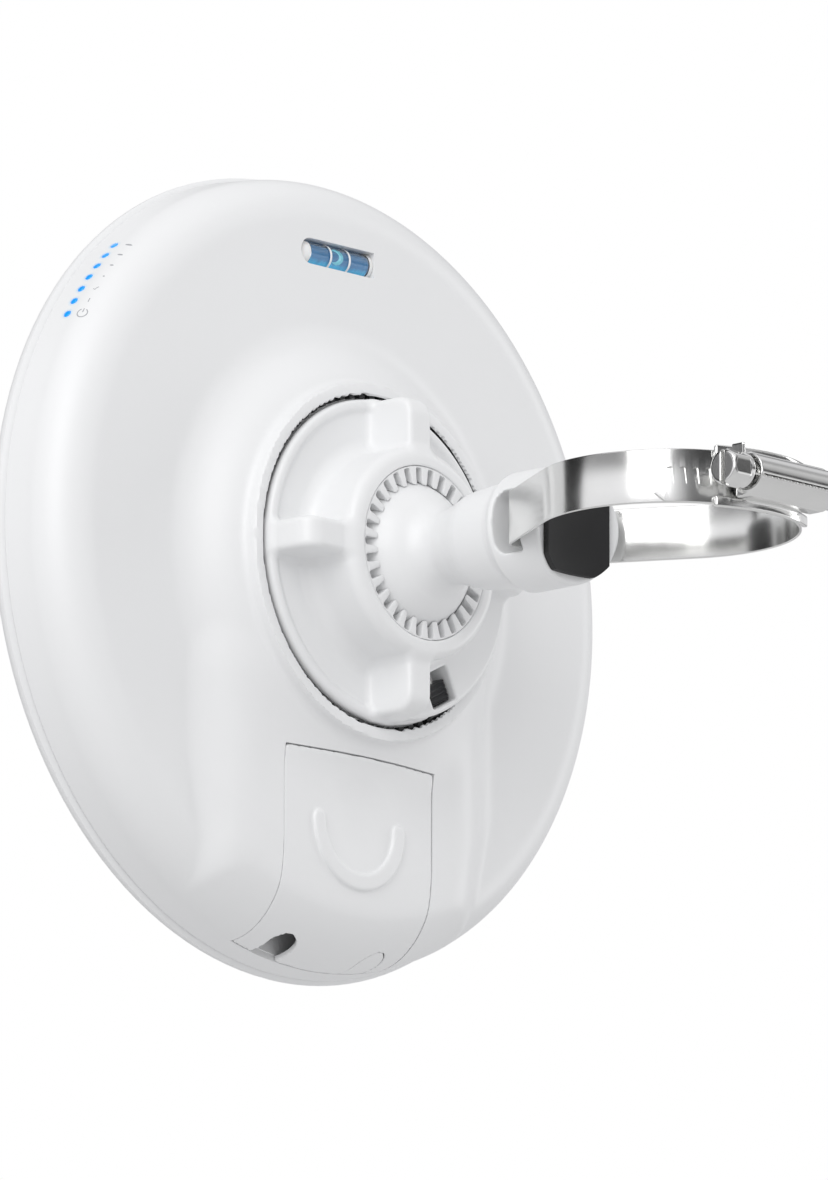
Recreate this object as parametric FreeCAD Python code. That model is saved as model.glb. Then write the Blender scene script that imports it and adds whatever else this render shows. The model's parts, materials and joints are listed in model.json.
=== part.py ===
"""Outdoor wireless bridge: a round dish radio on a ball joint, held to a pole by a worm-drive band.

Millimetres, +Z up. The origin is on the pole's axis at the middle of the band's height, and the
dish faces -Y. The dish, its nut and its ball are drawn about the centre of the dish's joint line,
with +Y towards the pole, and are moved to PARTING_Y when they are saved.
"""
import FreeCAD, Part
import os
from math import asin, atan2, cos, degrees, hypot, pi, radians, sin, sqrt

# Pole and band
POLE_RADIUS = 30.15
BAND_WIDTH = 12.7
BAND_THICKNESS = 0.7
BAND_BACK_Y = -37.0
BAND_BEND = 2.0
BAND_HALF_GAP = 14.2
TAIL_START, TAIL_END = 36.0, 118.0
TAIL_CHAMFER = 3.0
THREAD_SLOT_PITCH = 3.0

# Band screw and its housing
SCREW_Y = 36.6
SCREW_HEAD_FLATS = 8.0
HEAD_X0, HEAD_X1 = 16.4, 22.0
HEAD_SLOT = (1.2, 1.8)
BARREL_X0, BARREL_X1 = -16.2, 13.2
BARREL_RADIUS = 4.5
BARREL_WALL = 0.7
WORM_RADIUS = 3.6
WORM_ROOT = 2.9
WORM_PITCH = 2.2
RAIL_RADII = (31.75, 33.1)
RAIL_HALF_ANGLE = 29.0
RAIL_Z0, RAIL_Z1 = 4.7, 7.3

# Dish shells
PARTING_Y = -122.0
PARTING_RADIUS = 95.3
DISH_RADIUS = 96.3
RIM_ROUND = 11.4
RIM_CENTRE = (83.2, 6.3)
BACK_Y = RIM_CENTRE[1] + RIM_ROUND
WALL = 2.4
FRONT_RISE = 24.0
FRONT_EDGE_Y = -4.5
FRONT_EDGE_RADIUS = 94.3

# Boss and channel on the rear housing
BOSS_Y = 27.6
BOSS_RADIUS = 40.6
BOSS_ROUND = 7.0
BOSS_FILLET = 9.0
BOSS_BORE = 22.6
LIP_INNER, LIP_OUTER = 39.3, 42.8
LIP_TOP_Y = 30.4
LIP_ROUND = 1.0
POST_RADIUS, RIM_POST_RADIUS = 3.4, 2.9
CHANNEL_Y = 23.65
CHANNEL_HALF = 33.0
CHANNEL_FOOT = 52.0
CHANNEL_TOP_Z = -20.0
DRUM_FLAT_RADIUS = 76.6
DRUM_MIDDLE = (89.6, 17.5)
DRUM_RIM = (95.5, 6.5)
VENT_PLACE = (-60.0, 20.0)

# Ball joint
BALL_Y = 33.6
BALL_RADIUS = 19.4
PAD_RADII = (19.6, 20.35)
FRONT_PAD = (18.0, 46.0)
REAR_PAD = (66.0, 98.0)
CUP_INNER = 20.6
CUP_OUTER = 22.1
CUP_TOP_Y = 38.2
CUP_FLANGE = (36.0, 22.3, 25.1)
COLLET_SLOTS = 30
COLLET_INNER = 19.65
COLLET_LIP = 20.7
COLLET_STEP_Y = 40.6

# Lock nut
FLANGE_RADIUS = 38.6
FLANGE_Y0, FLANGE_Y1 = 28.6, 30.2
HUB_RADIUS = 25.2
HUB_TOP_Y = 45.0
LUG_WIDTH = 7.6
LUG_TOP_Y = 43.6
SECTOR_Y = 36.0
TAB_ANGLE = 243.0
SPRING_RADIUS, SPRING_Y = 1.0, 32.8
DETENT_TEETH = 72
DETENT_INNER, DETENT_ROOT, DETENT_HEIGHT = 39.1, 39.95, 1.6
LUG_COUNT = 4
LUG_ROUND = 5.0
HUB_ROUND, HUB_FOOT = 2.6, 2.0
TAB_WINDOW = (28.0, 36.4, 4.4)

# Arm and saddle
NECK_RADIUS = 10.0
COLLAR_RADIUS = 12.7
SADDLE_RADIUS = 14.3
SLOT_Y0, SLOT_Y1 = -43.0, -35.0
SLOT_HALF_HEIGHT = 7.5
GRIP_PAD = 1.5

# Port cover and its bay
COVER_HALF = 25.2
COVER_TOP_Z = -46.5
COVER_GAP = 0.3
COVER_WALL = 2.2
COVER_BOTTOM_Y = 6.5
NOTCH_X = 15.0
NOTCH_RADIUS = 4.0
NOTCH_Y = 12.0
DIMPLE_Z = -62.3
DIMPLE_RADIUS = 9.8
DIMPLE_DEPTH = 1.3
BAY_HALF = 23.6
BAY_FLOOR_Y = 6.4
BAY_TOP_Z = -50.0
BAY_WALL = 5.5
RESET_PLACE = (-15.5, 12.5)
RESET_TRAVEL = 0.5

# Vial and lights
VIAL_Y, VIAL_Z = 14.5, 75.3
VIAL_LENGTH = 27.3
VIAL_RADIUS = 3.0
VIAL_CAP = 3.6
VIAL_MARK_X = 3.2
LIGHT_COUNT = 7
LIGHT_ANGLES = (32.0, 47.0)
LIGHT_Y = 5.4
LIGHT_RADIUS = 0.95

# Boards and antenna
BOARD_Y, BOARD_THICKNESS = 7.2, 1.6
BOARD_RADIUS = 64.0
BOARD_BOTTOM_Z = -44.0
BOARD_SCREWS = [(-44, 38), (44, 38), (-44, -34), (44, -34)]
REFLECTOR_RADIUS = 84.0
REFLECTOR_FLANGE = 89.8
REFLECTOR_RIM_Y = -0.5
REFLECTOR_DEPTH = 7.0
REFLECTOR_WALL = 1.0
RIM_SCREW_RADIUS = 86.9
JACK_HALF, JACK_DEPTH, JACK_HEIGHT = 8.0, 20.5, 11.8

V = FreeCAD.Vector
ORIGIN = V(0, 0, 0)
Y_AXIS = V(0, 1, 0)


def box(x0, x1, y0, y1, z0, z1):
    return Part.makeBox(x1 - x0, y1 - y0, z1 - z0, V(x0, y0, z0))


def rod(radius, start, end):
    run = V(*end) - V(*start)
    return Part.makeCylinder(radius, run.Length, V(*start), run)


def on_arc(centre, radius, angle):
    return (centre[0] + radius * cos(radians(angle)), centre[1] + radius * sin(radians(angle)))


def outline(start, *steps):
    """Closed wire in the XY plane: a step is an end point, or an arc's (through, end) points."""
    here = V(start[0], start[1], 0)
    edges = []
    for step in steps:
        if isinstance(step[0], tuple):
            through = V(step[0][0], step[0][1], 0)
            end = V(step[1][0], step[1][1], 0)
            edges.append(Part.Arc(here, through, end).toShape())
        else:
            end = V(step[0], step[1], 0)
            edges.append(Part.LineSegment(here, end).toShape())
        here = end
    edges.append(Part.LineSegment(here, V(start[0], start[1], 0)).toShape())
    return Part.Wire(edges)


def turned(start, *steps):
    """Solid of revolution about the Y axis, from an outline of (radius, y) points."""
    return Part.Face(outline(start, *steps)).revolve(ORIGIN, Y_AXIS, 360)


def raised(height, start, *steps):
    """Solid with an outline in the XY plane, raised along Z from zero."""
    return Part.Face(outline(start, *steps)).extrude(V(0, 0, height))


def ring(inner, outer, y0, y1):
    return turned((inner, y0), (outer, y0), (outer, y1), (inner, y1))


def around(shape, angles):
    """Copies of a shape turned about the Y axis, counted from +X towards +Z."""
    copies = []
    for angle in angles:
        copy = shape.copy()
        copy.rotate(ORIGIN, Y_AXIS, -angle)
        copies.append(copy)
    return copies


def evenly(count, first=0.0):
    return [first + 360.0 * index / count for index in range(count)]


def save(name, shape, offset_y=0.0):
    moved = shape.copy()
    moved.translate(V(0, offset_y, 0))
    moved.exportStep("parts/%s.step" % name)


def save_dish(name, shape):
    save(name, shape, PARTING_Y)


# ---------------------------------------------------------------- dish shells

def shell_profile(inset, floor_y, bottom_y):
    """Outline of the rear shell's body of revolution, moved inwards by the inset."""
    convex = (BOSS_RADIUS, BOSS_Y - BOSS_ROUND)
    drop = BACK_Y + BOSS_FILLET - convex[1]
    reach = sqrt((BOSS_ROUND + BOSS_FILLET) ** 2 - drop ** 2)
    concave = (BOSS_RADIUS + reach, BACK_Y + BOSS_FILLET)
    meet = degrees(atan2(drop, reach))
    rim = RIM_ROUND - inset
    convex_round = BOSS_ROUND - inset
    concave_round = BOSS_FILLET + inset
    return [
        (PARTING_RADIUS - inset, bottom_y),
        on_arc(RIM_CENTRE, rim, 0),
        (on_arc(RIM_CENTRE, rim, 45), on_arc(RIM_CENTRE, rim, 90)),
        on_arc(concave, concave_round, -90),
        (on_arc(concave, concave_round, 225 + meet / 2), on_arc(concave, concave_round, 180 + meet)),
        (on_arc(convex, convex_round, 45 + meet / 2), on_arc(convex, convex_round, 90)),
        (0, floor_y),
    ]


def channel(inset):
    """Raised channel from the boss down to the rim, closed there by a rounded drum."""
    top = CHANNEL_Y - inset
    half = CHANNEL_HALF - inset
    section = raised(
        120, (-CHANNEL_FOOT - 9, 0), (-CHANNEL_FOOT, top - 8.0),
        ((-half - 9.0, top - 2.2), (-half, top)), (half, top),
        ((half + 9.0, top - 2.2), (CHANNEL_FOOT, top - 8.0)), (CHANNEL_FOOT + 9, 0))
    section.translate(V(0, 0, -120 + CHANNEL_TOP_Z))
    middle = (DRUM_MIDDLE[0] - inset * 0.7, DRUM_MIDDLE[1] - inset * 0.7)
    drum = turned((0, 0), (PARTING_RADIUS - inset, 0), (DRUM_RIM[0] - inset, DRUM_RIM[1]),
                  (middle, (DRUM_FLAT_RADIUS, top)), (0, top))
    return section.common(drum)


def screw_posts():
    """Moulded posts that take the board screws and the reflector screws."""
    posts = [rod(POST_RADIUS, (x, BOARD_Y + BOARD_THICKNESS, z), (x, BOSS_Y, z)) for x, z in BOARD_SCREWS]
    rim_post = rod(RIM_POST_RADIUS, (RIM_SCREW_RADIUS, REFLECTOR_RIM_Y, 0), (RIM_SCREW_RADIUS, BOSS_Y, 0))
    return posts + around(rim_post, evenly(6))


def boss_lip():
    """Raised rim round the lock nut's flange, with a lip over the detent ring."""
    wall = BOSS_RADIUS + 0.1
    under = BOSS_Y + DETENT_HEIGHT + 0.1
    corner = (LIP_OUTER - LIP_ROUND, LIP_TOP_Y - LIP_ROUND)
    return turned(
        (wall, BOSS_Y - 0.5), (LIP_OUTER, BOSS_Y - 0.5), on_arc(corner, LIP_ROUND, 0),
        (on_arc(corner, LIP_ROUND, 45), on_arc(corner, LIP_ROUND, 90)),
        (LIP_INNER, LIP_TOP_Y), (LIP_INNER, under), (wall, under))


def vial_tub():
    half = VIAL_LENGTH / 2 + 2.2
    reach = VIAL_RADIUS + 2.4
    return box(-half, half, VIAL_Y - 5.2, BACK_Y - 0.4, VIAL_Z - reach, VIAL_Z + reach)


def vial_recess():
    half = VIAL_LENGTH / 2 + 0.4
    reach = VIAL_RADIUS + 0.4
    return box(-half, half, VIAL_Y - 3.3, BACK_Y + 5, VIAL_Z - reach, VIAL_Z + reach)


def port_bay_walls():
    side = BAY_HALF + BAY_WALL
    walls = box(-side, side, BAY_FLOOR_Y - 1.8, CHANNEL_Y, -100.0, BAY_TOP_Z + BAY_WALL)
    return walls.common(channel(0.6))


def rear_housing():
    outer = turned((0, 0), *shell_profile(0.0, BOSS_Y, 0.0)).fuse(channel(0.0))
    inner = turned((0, -1), *shell_profile(WALL, BOSS_Y - WALL, -1.0)).fuse(channel(WALL))
    posts = [post.common(outer.fuse(disc(PARTING_RADIUS, REFLECTOR_RIM_Y, 0))) for post in screw_posts()]
    shell = outer.cut(inner).fuse([port_bay_walls(), vial_tub(), boss_lip()] + posts)
    cuts = [
        rod(BOSS_BORE, (0, 0, 0), (0, 60, 0)),
        vial_recess(),
        cover_opening(),
        box(-BAY_HALF, BAY_HALF, BAY_FLOOR_Y, 40, -93.2, BAY_TOP_Z),
        box(-BAY_HALF, BAY_HALF, COVER_BOTTOM_Y - COVER_GAP, 40, -100, BAY_TOP_Z),
        box(-JACK_HALF - 0.3, JACK_HALF + 0.3, BOARD_Y + BOARD_THICKNESS, CHANNEL_Y - WALL, -60, -40),
        rod(2.1, (*RESET_PLACE, -60), (*RESET_PLACE, -40)),
    ]
    cuts += around(rod(LIGHT_RADIUS + 0.05, (80, LIGHT_Y, 0), (100, LIGHT_Y, 0)), light_angles())
    cuts += around(rod(1.3, (30, 10, 0), (30, BOSS_Y - 0.8, 0)), evenly(4, 45))
    vent_x, vent_z = VENT_PLACE
    cuts.append(rod(3.0, (vent_x, 0, vent_z), (vent_x, BACK_Y - 1.2, vent_z)))
    cuts.append(rod(1.0, (vent_x, 0, vent_z), (vent_x, 30, vent_z)))
    cuts += [rod(1.55, (x, 0, z), (x, BOARD_Y + BOARD_THICKNESS + 4.2, z)) for x, z in BOARD_SCREWS]
    cuts += around(rod(1.25, (RIM_SCREW_RADIUS, -2, 0), (RIM_SCREW_RADIUS, 9.0, 0)), evenly(6))
    return shell.cut(cuts).removeSplitter()


def cover_opening():
    """Opening for the cover, only as deep as the cover, so that its edges rest on a ledge."""
    half = COVER_HALF + COVER_GAP
    reach = box(-half, half, COVER_BOTTOM_Y - COVER_GAP, 40, -100, COVER_TOP_Z + COVER_GAP)
    return reach.cut(channel(COVER_WALL + COVER_GAP))


def radome():
    """Front cover: a shallow dome with a rounded edge."""
    span = FRONT_EDGE_RADIUS
    dome = (span ** 2 + FRONT_RISE ** 2) / (2 * FRONT_RISE)
    centre = (0, FRONT_EDGE_Y - FRONT_RISE + dome)
    edge_angle = degrees(asin(span / dome))
    inner = dome - 2.0
    middle = -90 + edge_angle / 2
    inner_edge = on_arc(centre, inner, -90 + edge_angle * 0.965)
    return turned(
        (inner_edge[0], -0.3), (PARTING_RADIUS - 0.3, -0.3), (DISH_RADIUS, -1.3),
        ((DISH_RADIUS - 0.5, -3.3), (span, FRONT_EDGE_Y)),
        (on_arc(centre, dome, middle), (0, FRONT_EDGE_Y - FRONT_RISE)),
        (0, FRONT_EDGE_Y - FRONT_RISE + 2.0),
        (on_arc(centre, inner, middle), inner_edge))


def rim_gasket():
    return ring(PARTING_RADIUS - 2.2, PARTING_RADIUS - 0.7, -0.3, 0.0)


def light_angles():
    first, last = LIGHT_ANGLES
    step = (last - first) / (LIGHT_COUNT - 1)
    return [first + step * index for index in range(LIGHT_COUNT)]


def status_lights():
    light = rod(LIGHT_RADIUS, (91.6, LIGHT_Y, 0), (PARTING_RADIUS - 0.35, LIGHT_Y, 0))
    return Part.makeCompound(around(light, light_angles()))


def light_board():
    first, last = LIGHT_ANGLES
    strip = ring(90.4, 91.4, LIGHT_Y - 2.2, LIGHT_Y + 2.0)
    return strip.common(sector(first - 4, last + 4, 120, -10, 30))


def sector(first, last, radius, y0, y1):
    """Pie slice about the Y axis, counted from +X towards +Z."""
    slice_face = Part.Face(outline(
        (0, 0), on_arc((0, 0), radius, first),
        (on_arc((0, 0), radius, (first + last) / 2), on_arc((0, 0), radius, last))))
    solid = slice_face.extrude(V(0, 0, y1 - y0))
    solid.rotate(ORIGIN, V(1, 0, 0), 90)
    solid.translate(V(0, y1, 0))
    return solid


# ---------------------------------------------------------------- vial

def vial_pieces():
    half = VIAL_LENGTH / 2
    cap = VIAL_CAP
    bore = VIAL_RADIUS - 0.7
    tube = along_vial(VIAL_RADIUS, -half + cap, half - cap).cut(along_vial(bore, -half, half))
    fluid = along_vial(bore, -half + cap, half - cap)
    caps = []
    for side in (-1, 1):
        x0, x1 = sorted((side * (half - cap), side * half))
        plug = along_vial(VIAL_RADIUS, x0, x1)
        tip = [edge for edge in plug.Edges if abs(edge.BoundBox.XMin - side * half) < 0.01
               and edge.BoundBox.XLength < 0.01]
        caps.append(plug.makeFillet(1.4, tip))
    marks = []
    for x in (-VIAL_MARK_X, VIAL_MARK_X):
        outer = along_vial(VIAL_RADIUS + 0.12, x - 0.35, x + 0.35)
        marks.append(outer.cut(along_vial(VIAL_RADIUS, x - 1, x + 1)))
    return {"vial_tube": tube, "vial_fluid": fluid, "vial_end_caps": Part.makeCompound(caps),
            "vial_mark_rings": Part.makeCompound(marks)}


def along_vial(radius, x0, x1):
    return rod(radius, (x0, VIAL_Y, VIAL_Z), (x1, VIAL_Y, VIAL_Z))


# ---------------------------------------------------------------- port cover

def notch(x, clearance):
    radius = NOTCH_RADIUS + clearance
    slot = box(x - radius, x + radius, 0, NOTCH_Y, -110, -70)
    return slot.fuse(rod(radius, (x, NOTCH_Y, -110), (x, NOTCH_Y, -70)))


def cover_shell(first_inset, last_inset):
    limit = box(-COVER_HALF, COVER_HALF, COVER_BOTTOM_Y, 60, -120, COVER_TOP_Z)
    return channel(first_inset).cut(channel(last_inset)).common(limit)


def port_cover():
    cover = cover_shell(0.0, COVER_WALL)
    sag = (DIMPLE_RADIUS ** 2 + DIMPLE_DEPTH ** 2) / (2 * DIMPLE_DEPTH)
    dimple = Part.makeSphere(sag, V(0, CHANNEL_Y - DIMPLE_DEPTH + sag, DIMPLE_Z))
    cover = cover.cut([dimple, notch(NOTCH_X, 0.0), notch(-NOTCH_X, 0.15)])
    return cover.fuse(crescent()).removeSplitter()


def crescent():
    """Half-round finger ridge below the dimple."""
    outer, inner = 15.5, 11.5
    middle = (outer + inner) / 2
    bar = (outer - inner) / 2
    arch = ring(inner, outer, CHANNEL_Y - 0.5, CHANNEL_Y + 1.5)
    arch = arch.common(sector(180.0, 360.0, 40, 0, 60))
    ends = [rod(bar, (x, CHANNEL_Y - 0.5, 0), (x, CHANNEL_Y + 1.5, 0)) for x in (-middle, middle)]
    ridge = arch.fuse(ends)
    ridge.translate(V(0, 0, DIMPLE_Z))
    return ridge.removeSplitter()


def cable_knockout():
    """Plug that closes the spare cable notch until it is broken out."""
    return cover_shell(0.2, COVER_WALL - 0.3).common(notch(-NOTCH_X, -0.1))


# ---------------------------------------------------------------- electronics and antenna

def disc(radius, y0, y1):
    return rod(radius, (0, y0, 0), (0, y1, 0))


def main_board():
    top = BOARD_Y + BOARD_THICKNESS
    board = disc(BOARD_RADIUS, BOARD_Y, top)
    board = board.common(box(-70, 70, 0, 20, BOARD_BOTTOM_Z, 70))
    holes = [rod(1.7, (x, 0, z), (x, 20, z)) for x, z in BOARD_SCREWS]
    return board.cut(holes + [disc(3.2, 0, 20)])


def board_screws():
    top = BOARD_Y + BOARD_THICKNESS
    screws = []
    for x, z in BOARD_SCREWS:
        head = rod(2.8, (x, BOARD_Y - 1.8, z), (x, BOARD_Y, z))
        screws.append(head.fuse(rod(1.5, (x, BOARD_Y, z), (x, top + 4.0, z))))
    return Part.makeCompound(screws)


def shield_cans():
    top = BOARD_Y + BOARD_THICKNESS
    cans = [box(-56, -28, top, top + 2.4, -14, 18), box(28, 56, top, top + 2.4, -14, 18),
            box(-22, 22, top, top + 2.4, 30, 54)]
    return Part.makeCompound(cans)


def reflector():
    """Main reflector: a shallow parabolic dish with a hole for the feed and a flat rim."""
    hub = 3.4
    half_way = REFLECTOR_RADIUS / 2

    def surface(radius, offset):
        fall = REFLECTOR_DEPTH * (radius / REFLECTOR_RADIUS) ** 2
        return (radius, REFLECTOR_RIM_Y + REFLECTOR_DEPTH - fall + offset)

    bowl = turned(
        surface(hub, -REFLECTOR_WALL),
        (surface(half_way, -REFLECTOR_WALL), surface(REFLECTOR_RADIUS, -REFLECTOR_WALL)),
        (REFLECTOR_FLANGE, REFLECTOR_RIM_Y - REFLECTOR_WALL), (REFLECTOR_FLANGE, REFLECTOR_RIM_Y),
        surface(REFLECTOR_RADIUS, 0.0), (surface(half_way, 0.0), surface(hub, 0.0)))
    hole = rod(1.4, (RIM_SCREW_RADIUS, -10, 0), (RIM_SCREW_RADIUS, 10, 0))
    return bowl.cut(around(hole, evenly(6)))


def feed_tube():
    return ring(1.9, 3.1, -18.0, BOARD_Y)


def feed_cone():
    return turned((3.15, -17.0), (3.15, -12.0), (11.0, -19.8), (11.0, -21.0), (0, -21.0),
                  (0, -18.2), (3.15, -18.2))


def sub_reflector():
    return turned((0, -22.0), (11.0, -22.0), (11.0, -21.0), (0, -21.0))


def ethernet_jack():
    y0 = BOARD_Y + BOARD_THICKNESS
    body = box(-JACK_HALF, JACK_HALF, y0, y0 + JACK_HEIGHT, BAY_TOP_Z, BAY_TOP_Z + JACK_DEPTH)
    mouth = box(-5.9, 5.9, y0 + 2.0, y0 + 8.6, BAY_TOP_Z - 1, BAY_TOP_Z + 13)
    latch = box(-3.0, 3.0, y0 + 8.5, y0 + 10.6, BAY_TOP_Z - 1, BAY_TOP_Z + 13)
    return body.cut([mouth, latch]).removeSplitter()


def jack_contacts():
    y0 = BOARD_Y + BOARD_THICKNESS + 2.0
    pitch = 1.02
    pins = []
    for index in range(8):
        x = (index - 3.5) * pitch
        pins.append(box(x - 0.2, x + 0.2, y0, y0 + 0.5, BAY_TOP_Z + 4, BAY_TOP_Z + 13))
    return Part.makeCompound(pins)


def jack_gasket():
    y0 = BOARD_Y + BOARD_THICKNESS
    frame = box(-JACK_HALF - 1.6, JACK_HALF + 1.6, y0 + 0.3, y0 + JACK_HEIGHT - 0.4,
                BAY_TOP_Z - 0.9, BAY_TOP_Z)
    return frame.cut(box(-6.6, 6.6, y0 + 1.2, y0 + JACK_HEIGHT - 1.2, -60, -40))


def reset_button():
    x, y = RESET_PLACE
    return rod(2.0, (x, y, BAY_TOP_Z - 0.6), (x, y, BAY_TOP_Z + BAY_WALL + 0.6))


def reset_switch():
    x = RESET_PLACE[0]
    top = BOARD_Y + BOARD_THICKNESS
    foot = BAY_TOP_Z + BAY_WALL + 0.6 + RESET_TRAVEL + 0.2
    return box(x - 3, x + 3, top, top + 6.0, foot, foot + 3.6)


def cup_screws():
    screw = rod(2.6, (30, CUP_FLANGE[1] - 2.0, 0), (30, CUP_FLANGE[1], 0))
    screw = screw.fuse(rod(1.25, (30, CUP_FLANGE[1], 0), (30, BOSS_Y - 0.9, 0)))
    return Part.makeCompound(around(screw, evenly(4, 45)))


def reflector_screws():
    face = REFLECTOR_RIM_Y - REFLECTOR_WALL
    head = rod(2.4, (RIM_SCREW_RADIUS, face - 1.6, 0), (RIM_SCREW_RADIUS, face, 0))
    screw = head.fuse(rod(1.2, (RIM_SCREW_RADIUS, face, 0), (RIM_SCREW_RADIUS, 8.0, 0)))
    return Part.makeCompound(around(screw, evenly(6)))


# ---------------------------------------------------------------- ball joint

def zone(inner, outer, first, last):
    """Part of a spherical shell about the ball, between two angles from -Y."""
    centre = (0, BALL_Y)
    middle = (first + last) / 2
    return turned(
        on_arc(centre, inner, first - 90),
        (on_arc(centre, inner, middle - 90), on_arc(centre, inner, last - 90)),
        on_arc(centre, outer, last - 90),
        (on_arc(centre, outer, middle - 90), on_arc(centre, outer, first - 90)))


def ball_cup():
    flange, flange_y0, flange_y1 = CUP_FLANGE
    body = turned((0, 11.2), (10, 11.2), (17, 13.6), (CUP_OUTER, 20.0), (CUP_OUTER, flange_y0),
                  (flange, flange_y0), (flange, flange_y1), (CUP_OUTER, flange_y1),
                  (CUP_OUTER, CUP_TOP_Y), (0, CUP_TOP_Y))
    holes = around(rod(1.4, (30, 0, 0), (30, 60, 0)), evenly(4, 45))
    return body.cut([Part.makeSphere(CUP_INNER, V(0, BALL_Y, 0))] + holes)


def collet_ring():
    """Split ring round the ball, with open slots between its fingers."""
    low_y, mouth_y = CUP_TOP_Y + 0.5, 43.4
    low_r = sqrt(COLLET_INNER ** 2 - (low_y - BALL_Y) ** 2)
    mouth_r = sqrt(COLLET_INNER ** 2 - (mouth_y - BALL_Y) ** 2)
    middle_y = (low_y + mouth_y) / 2
    middle_r = sqrt(COLLET_INNER ** 2 - (middle_y - BALL_Y) ** 2)
    body = turned(
        (low_r, low_y), ((middle_r, middle_y), (mouth_r, mouth_y)), (COLLET_LIP, HUB_TOP_Y - 0.2),
        (COLLET_LIP, COLLET_STEP_Y), (CUP_OUTER, COLLET_STEP_Y), (CUP_OUTER, low_y))
    slot = box(10, 20.0, 40.4, 50, -1.0, 1.0)
    return body.cut(around(slot, evenly(COLLET_SLOTS)))


def detent_ring():
    """Ring of inward teeth that the release tab's nose drops between."""
    body = ring(DETENT_INNER, BOSS_RADIUS, BOSS_Y, BOSS_Y + DETENT_HEIGHT)
    half_gap = pi * DETENT_INNER / DETENT_TEETH / 1.9
    tooth_gap = box(38, DETENT_ROOT, BOSS_Y - 1, BOSS_Y + 3, -half_gap, half_gap)
    return body.cut(around(tooth_gap, evenly(DETENT_TEETH)))


def lug():
    root, tip = HUB_RADIUS - 1.6, FLANGE_RADIUS - 0.3
    foot_y = FLANGE_Y1 - 0.3
    corner = (tip - LUG_ROUND, LUG_TOP_Y - LUG_ROUND)
    solid = raised(LUG_WIDTH, (root, foot_y), (tip, foot_y), on_arc(corner, LUG_ROUND, 0),
                   (on_arc(corner, LUG_ROUND, 45), on_arc(corner, LUG_ROUND, 90)), (root, LUG_TOP_Y))
    solid.translate(V(0, 0, -LUG_WIDTH / 2))
    return solid


def at_tab(shape):
    return around(shape, [TAB_ANGLE])[0]


def lock_nut():
    """Collar with four lugs; its bore has a thread over the cup and a lip over the collet."""
    hub_top = (HUB_RADIUS - HUB_ROUND, HUB_TOP_Y - HUB_ROUND)
    bore = CUP_OUTER + 0.2
    lip = COLLET_LIP + 0.1
    lip_y = COLLET_STEP_Y + 0.1
    foot = (HUB_RADIUS + HUB_FOOT, FLANGE_Y1 + HUB_FOOT)
    body = turned(
        (bore, FLANGE_Y0), (FLANGE_RADIUS, FLANGE_Y0), (FLANGE_RADIUS, FLANGE_Y1),
        on_arc(foot, HUB_FOOT, 270), (on_arc(foot, HUB_FOOT, 225), on_arc(foot, HUB_FOOT, 180)),
        on_arc(hub_top, HUB_ROUND, 0), (on_arc(hub_top, HUB_ROUND, 45), on_arc(hub_top, HUB_ROUND, 90)),
        (lip, HUB_TOP_Y), (lip, lip_y), (bore, lip_y))
    wedge = ring(HUB_RADIUS - 1.0, FLANGE_RADIUS - 0.3, FLANGE_Y1 - 0.3, SECTOR_Y)
    wedge = wedge.common(sector(180.0, 270.0, 60, 0, 60))
    body = body.fuse(around(lug(), evenly(LUG_COUNT)) + [wedge])
    near, far, half = TAB_WINDOW
    window = box(near, far, FLANGE_Y1, 50, -half, half)
    nose_slot = box(30.0, 40.0, FLANGE_Y0 - 1, FLANGE_Y1 + 1.4, -1.9, 1.9)
    return body.cut([at_tab(window), at_tab(nose_slot)]).removeSplitter()


def release_tab():
    """Thumb pad with a nose towards the detent ring and a blind hole for its spring."""
    block = box(31.0, 36.1, FLANGE_Y1 + 0.2, 34.4, -3.9, 3.9)
    nose = box(31.6, 38.9, FLANGE_Y0 + 0.2, FLANGE_Y1 + 1.2, -1.6, 1.6)
    pocket = rod(SPRING_RADIUS + 0.2, (30, SPRING_Y, 0), (33.5, SPRING_Y, 0))
    return at_tab(block.fuse(nose).cut(pocket)).removeSplitter()


def tab_spring():
    coil = rod(SPRING_RADIUS, (28.1, SPRING_Y, 0), (31.9, SPRING_Y, 0))
    return at_tab(coil.cut(rod(SPRING_RADIUS - 0.4, (27, SPRING_Y, 0), (33, SPRING_Y, 0))))


def ball_arm():
    """Ball, neck and saddle in one moulding, drawn in the pole's frame."""
    ball_y = PARTING_Y + BALL_Y
    seat = -sqrt(POLE_RADIUS ** 2 - SADDLE_RADIUS ** 2) + 0.5
    neck_root = ball_y + sqrt(BALL_RADIUS ** 2 - (NECK_RADIUS + 0.8) ** 2)
    shank = turned(
        (0, ball_y), (NECK_RADIUS + 0.8, neck_root), (NECK_RADIUS, neck_root + 3.0),
        (NECK_RADIUS, PARTING_Y + 58.0), (11.6, PARTING_Y + 64.0),
        (COLLAR_RADIUS, PARTING_Y + 74.6),
        ((13.2, PARTING_Y + 76.3), (SADDLE_RADIUS, PARTING_Y + 78.0)),
        (SADDLE_RADIUS, seat), (0, seat))
    arm = Part.makeSphere(BALL_RADIUS, V(0, ball_y, 0)).fuse(shank)
    pole_cut = rod(POLE_RADIUS + GRIP_PAD, (0, 0, -60), (0, 0, 60))
    return arm.cut([pole_cut, band_slot()]).removeSplitter()


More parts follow.
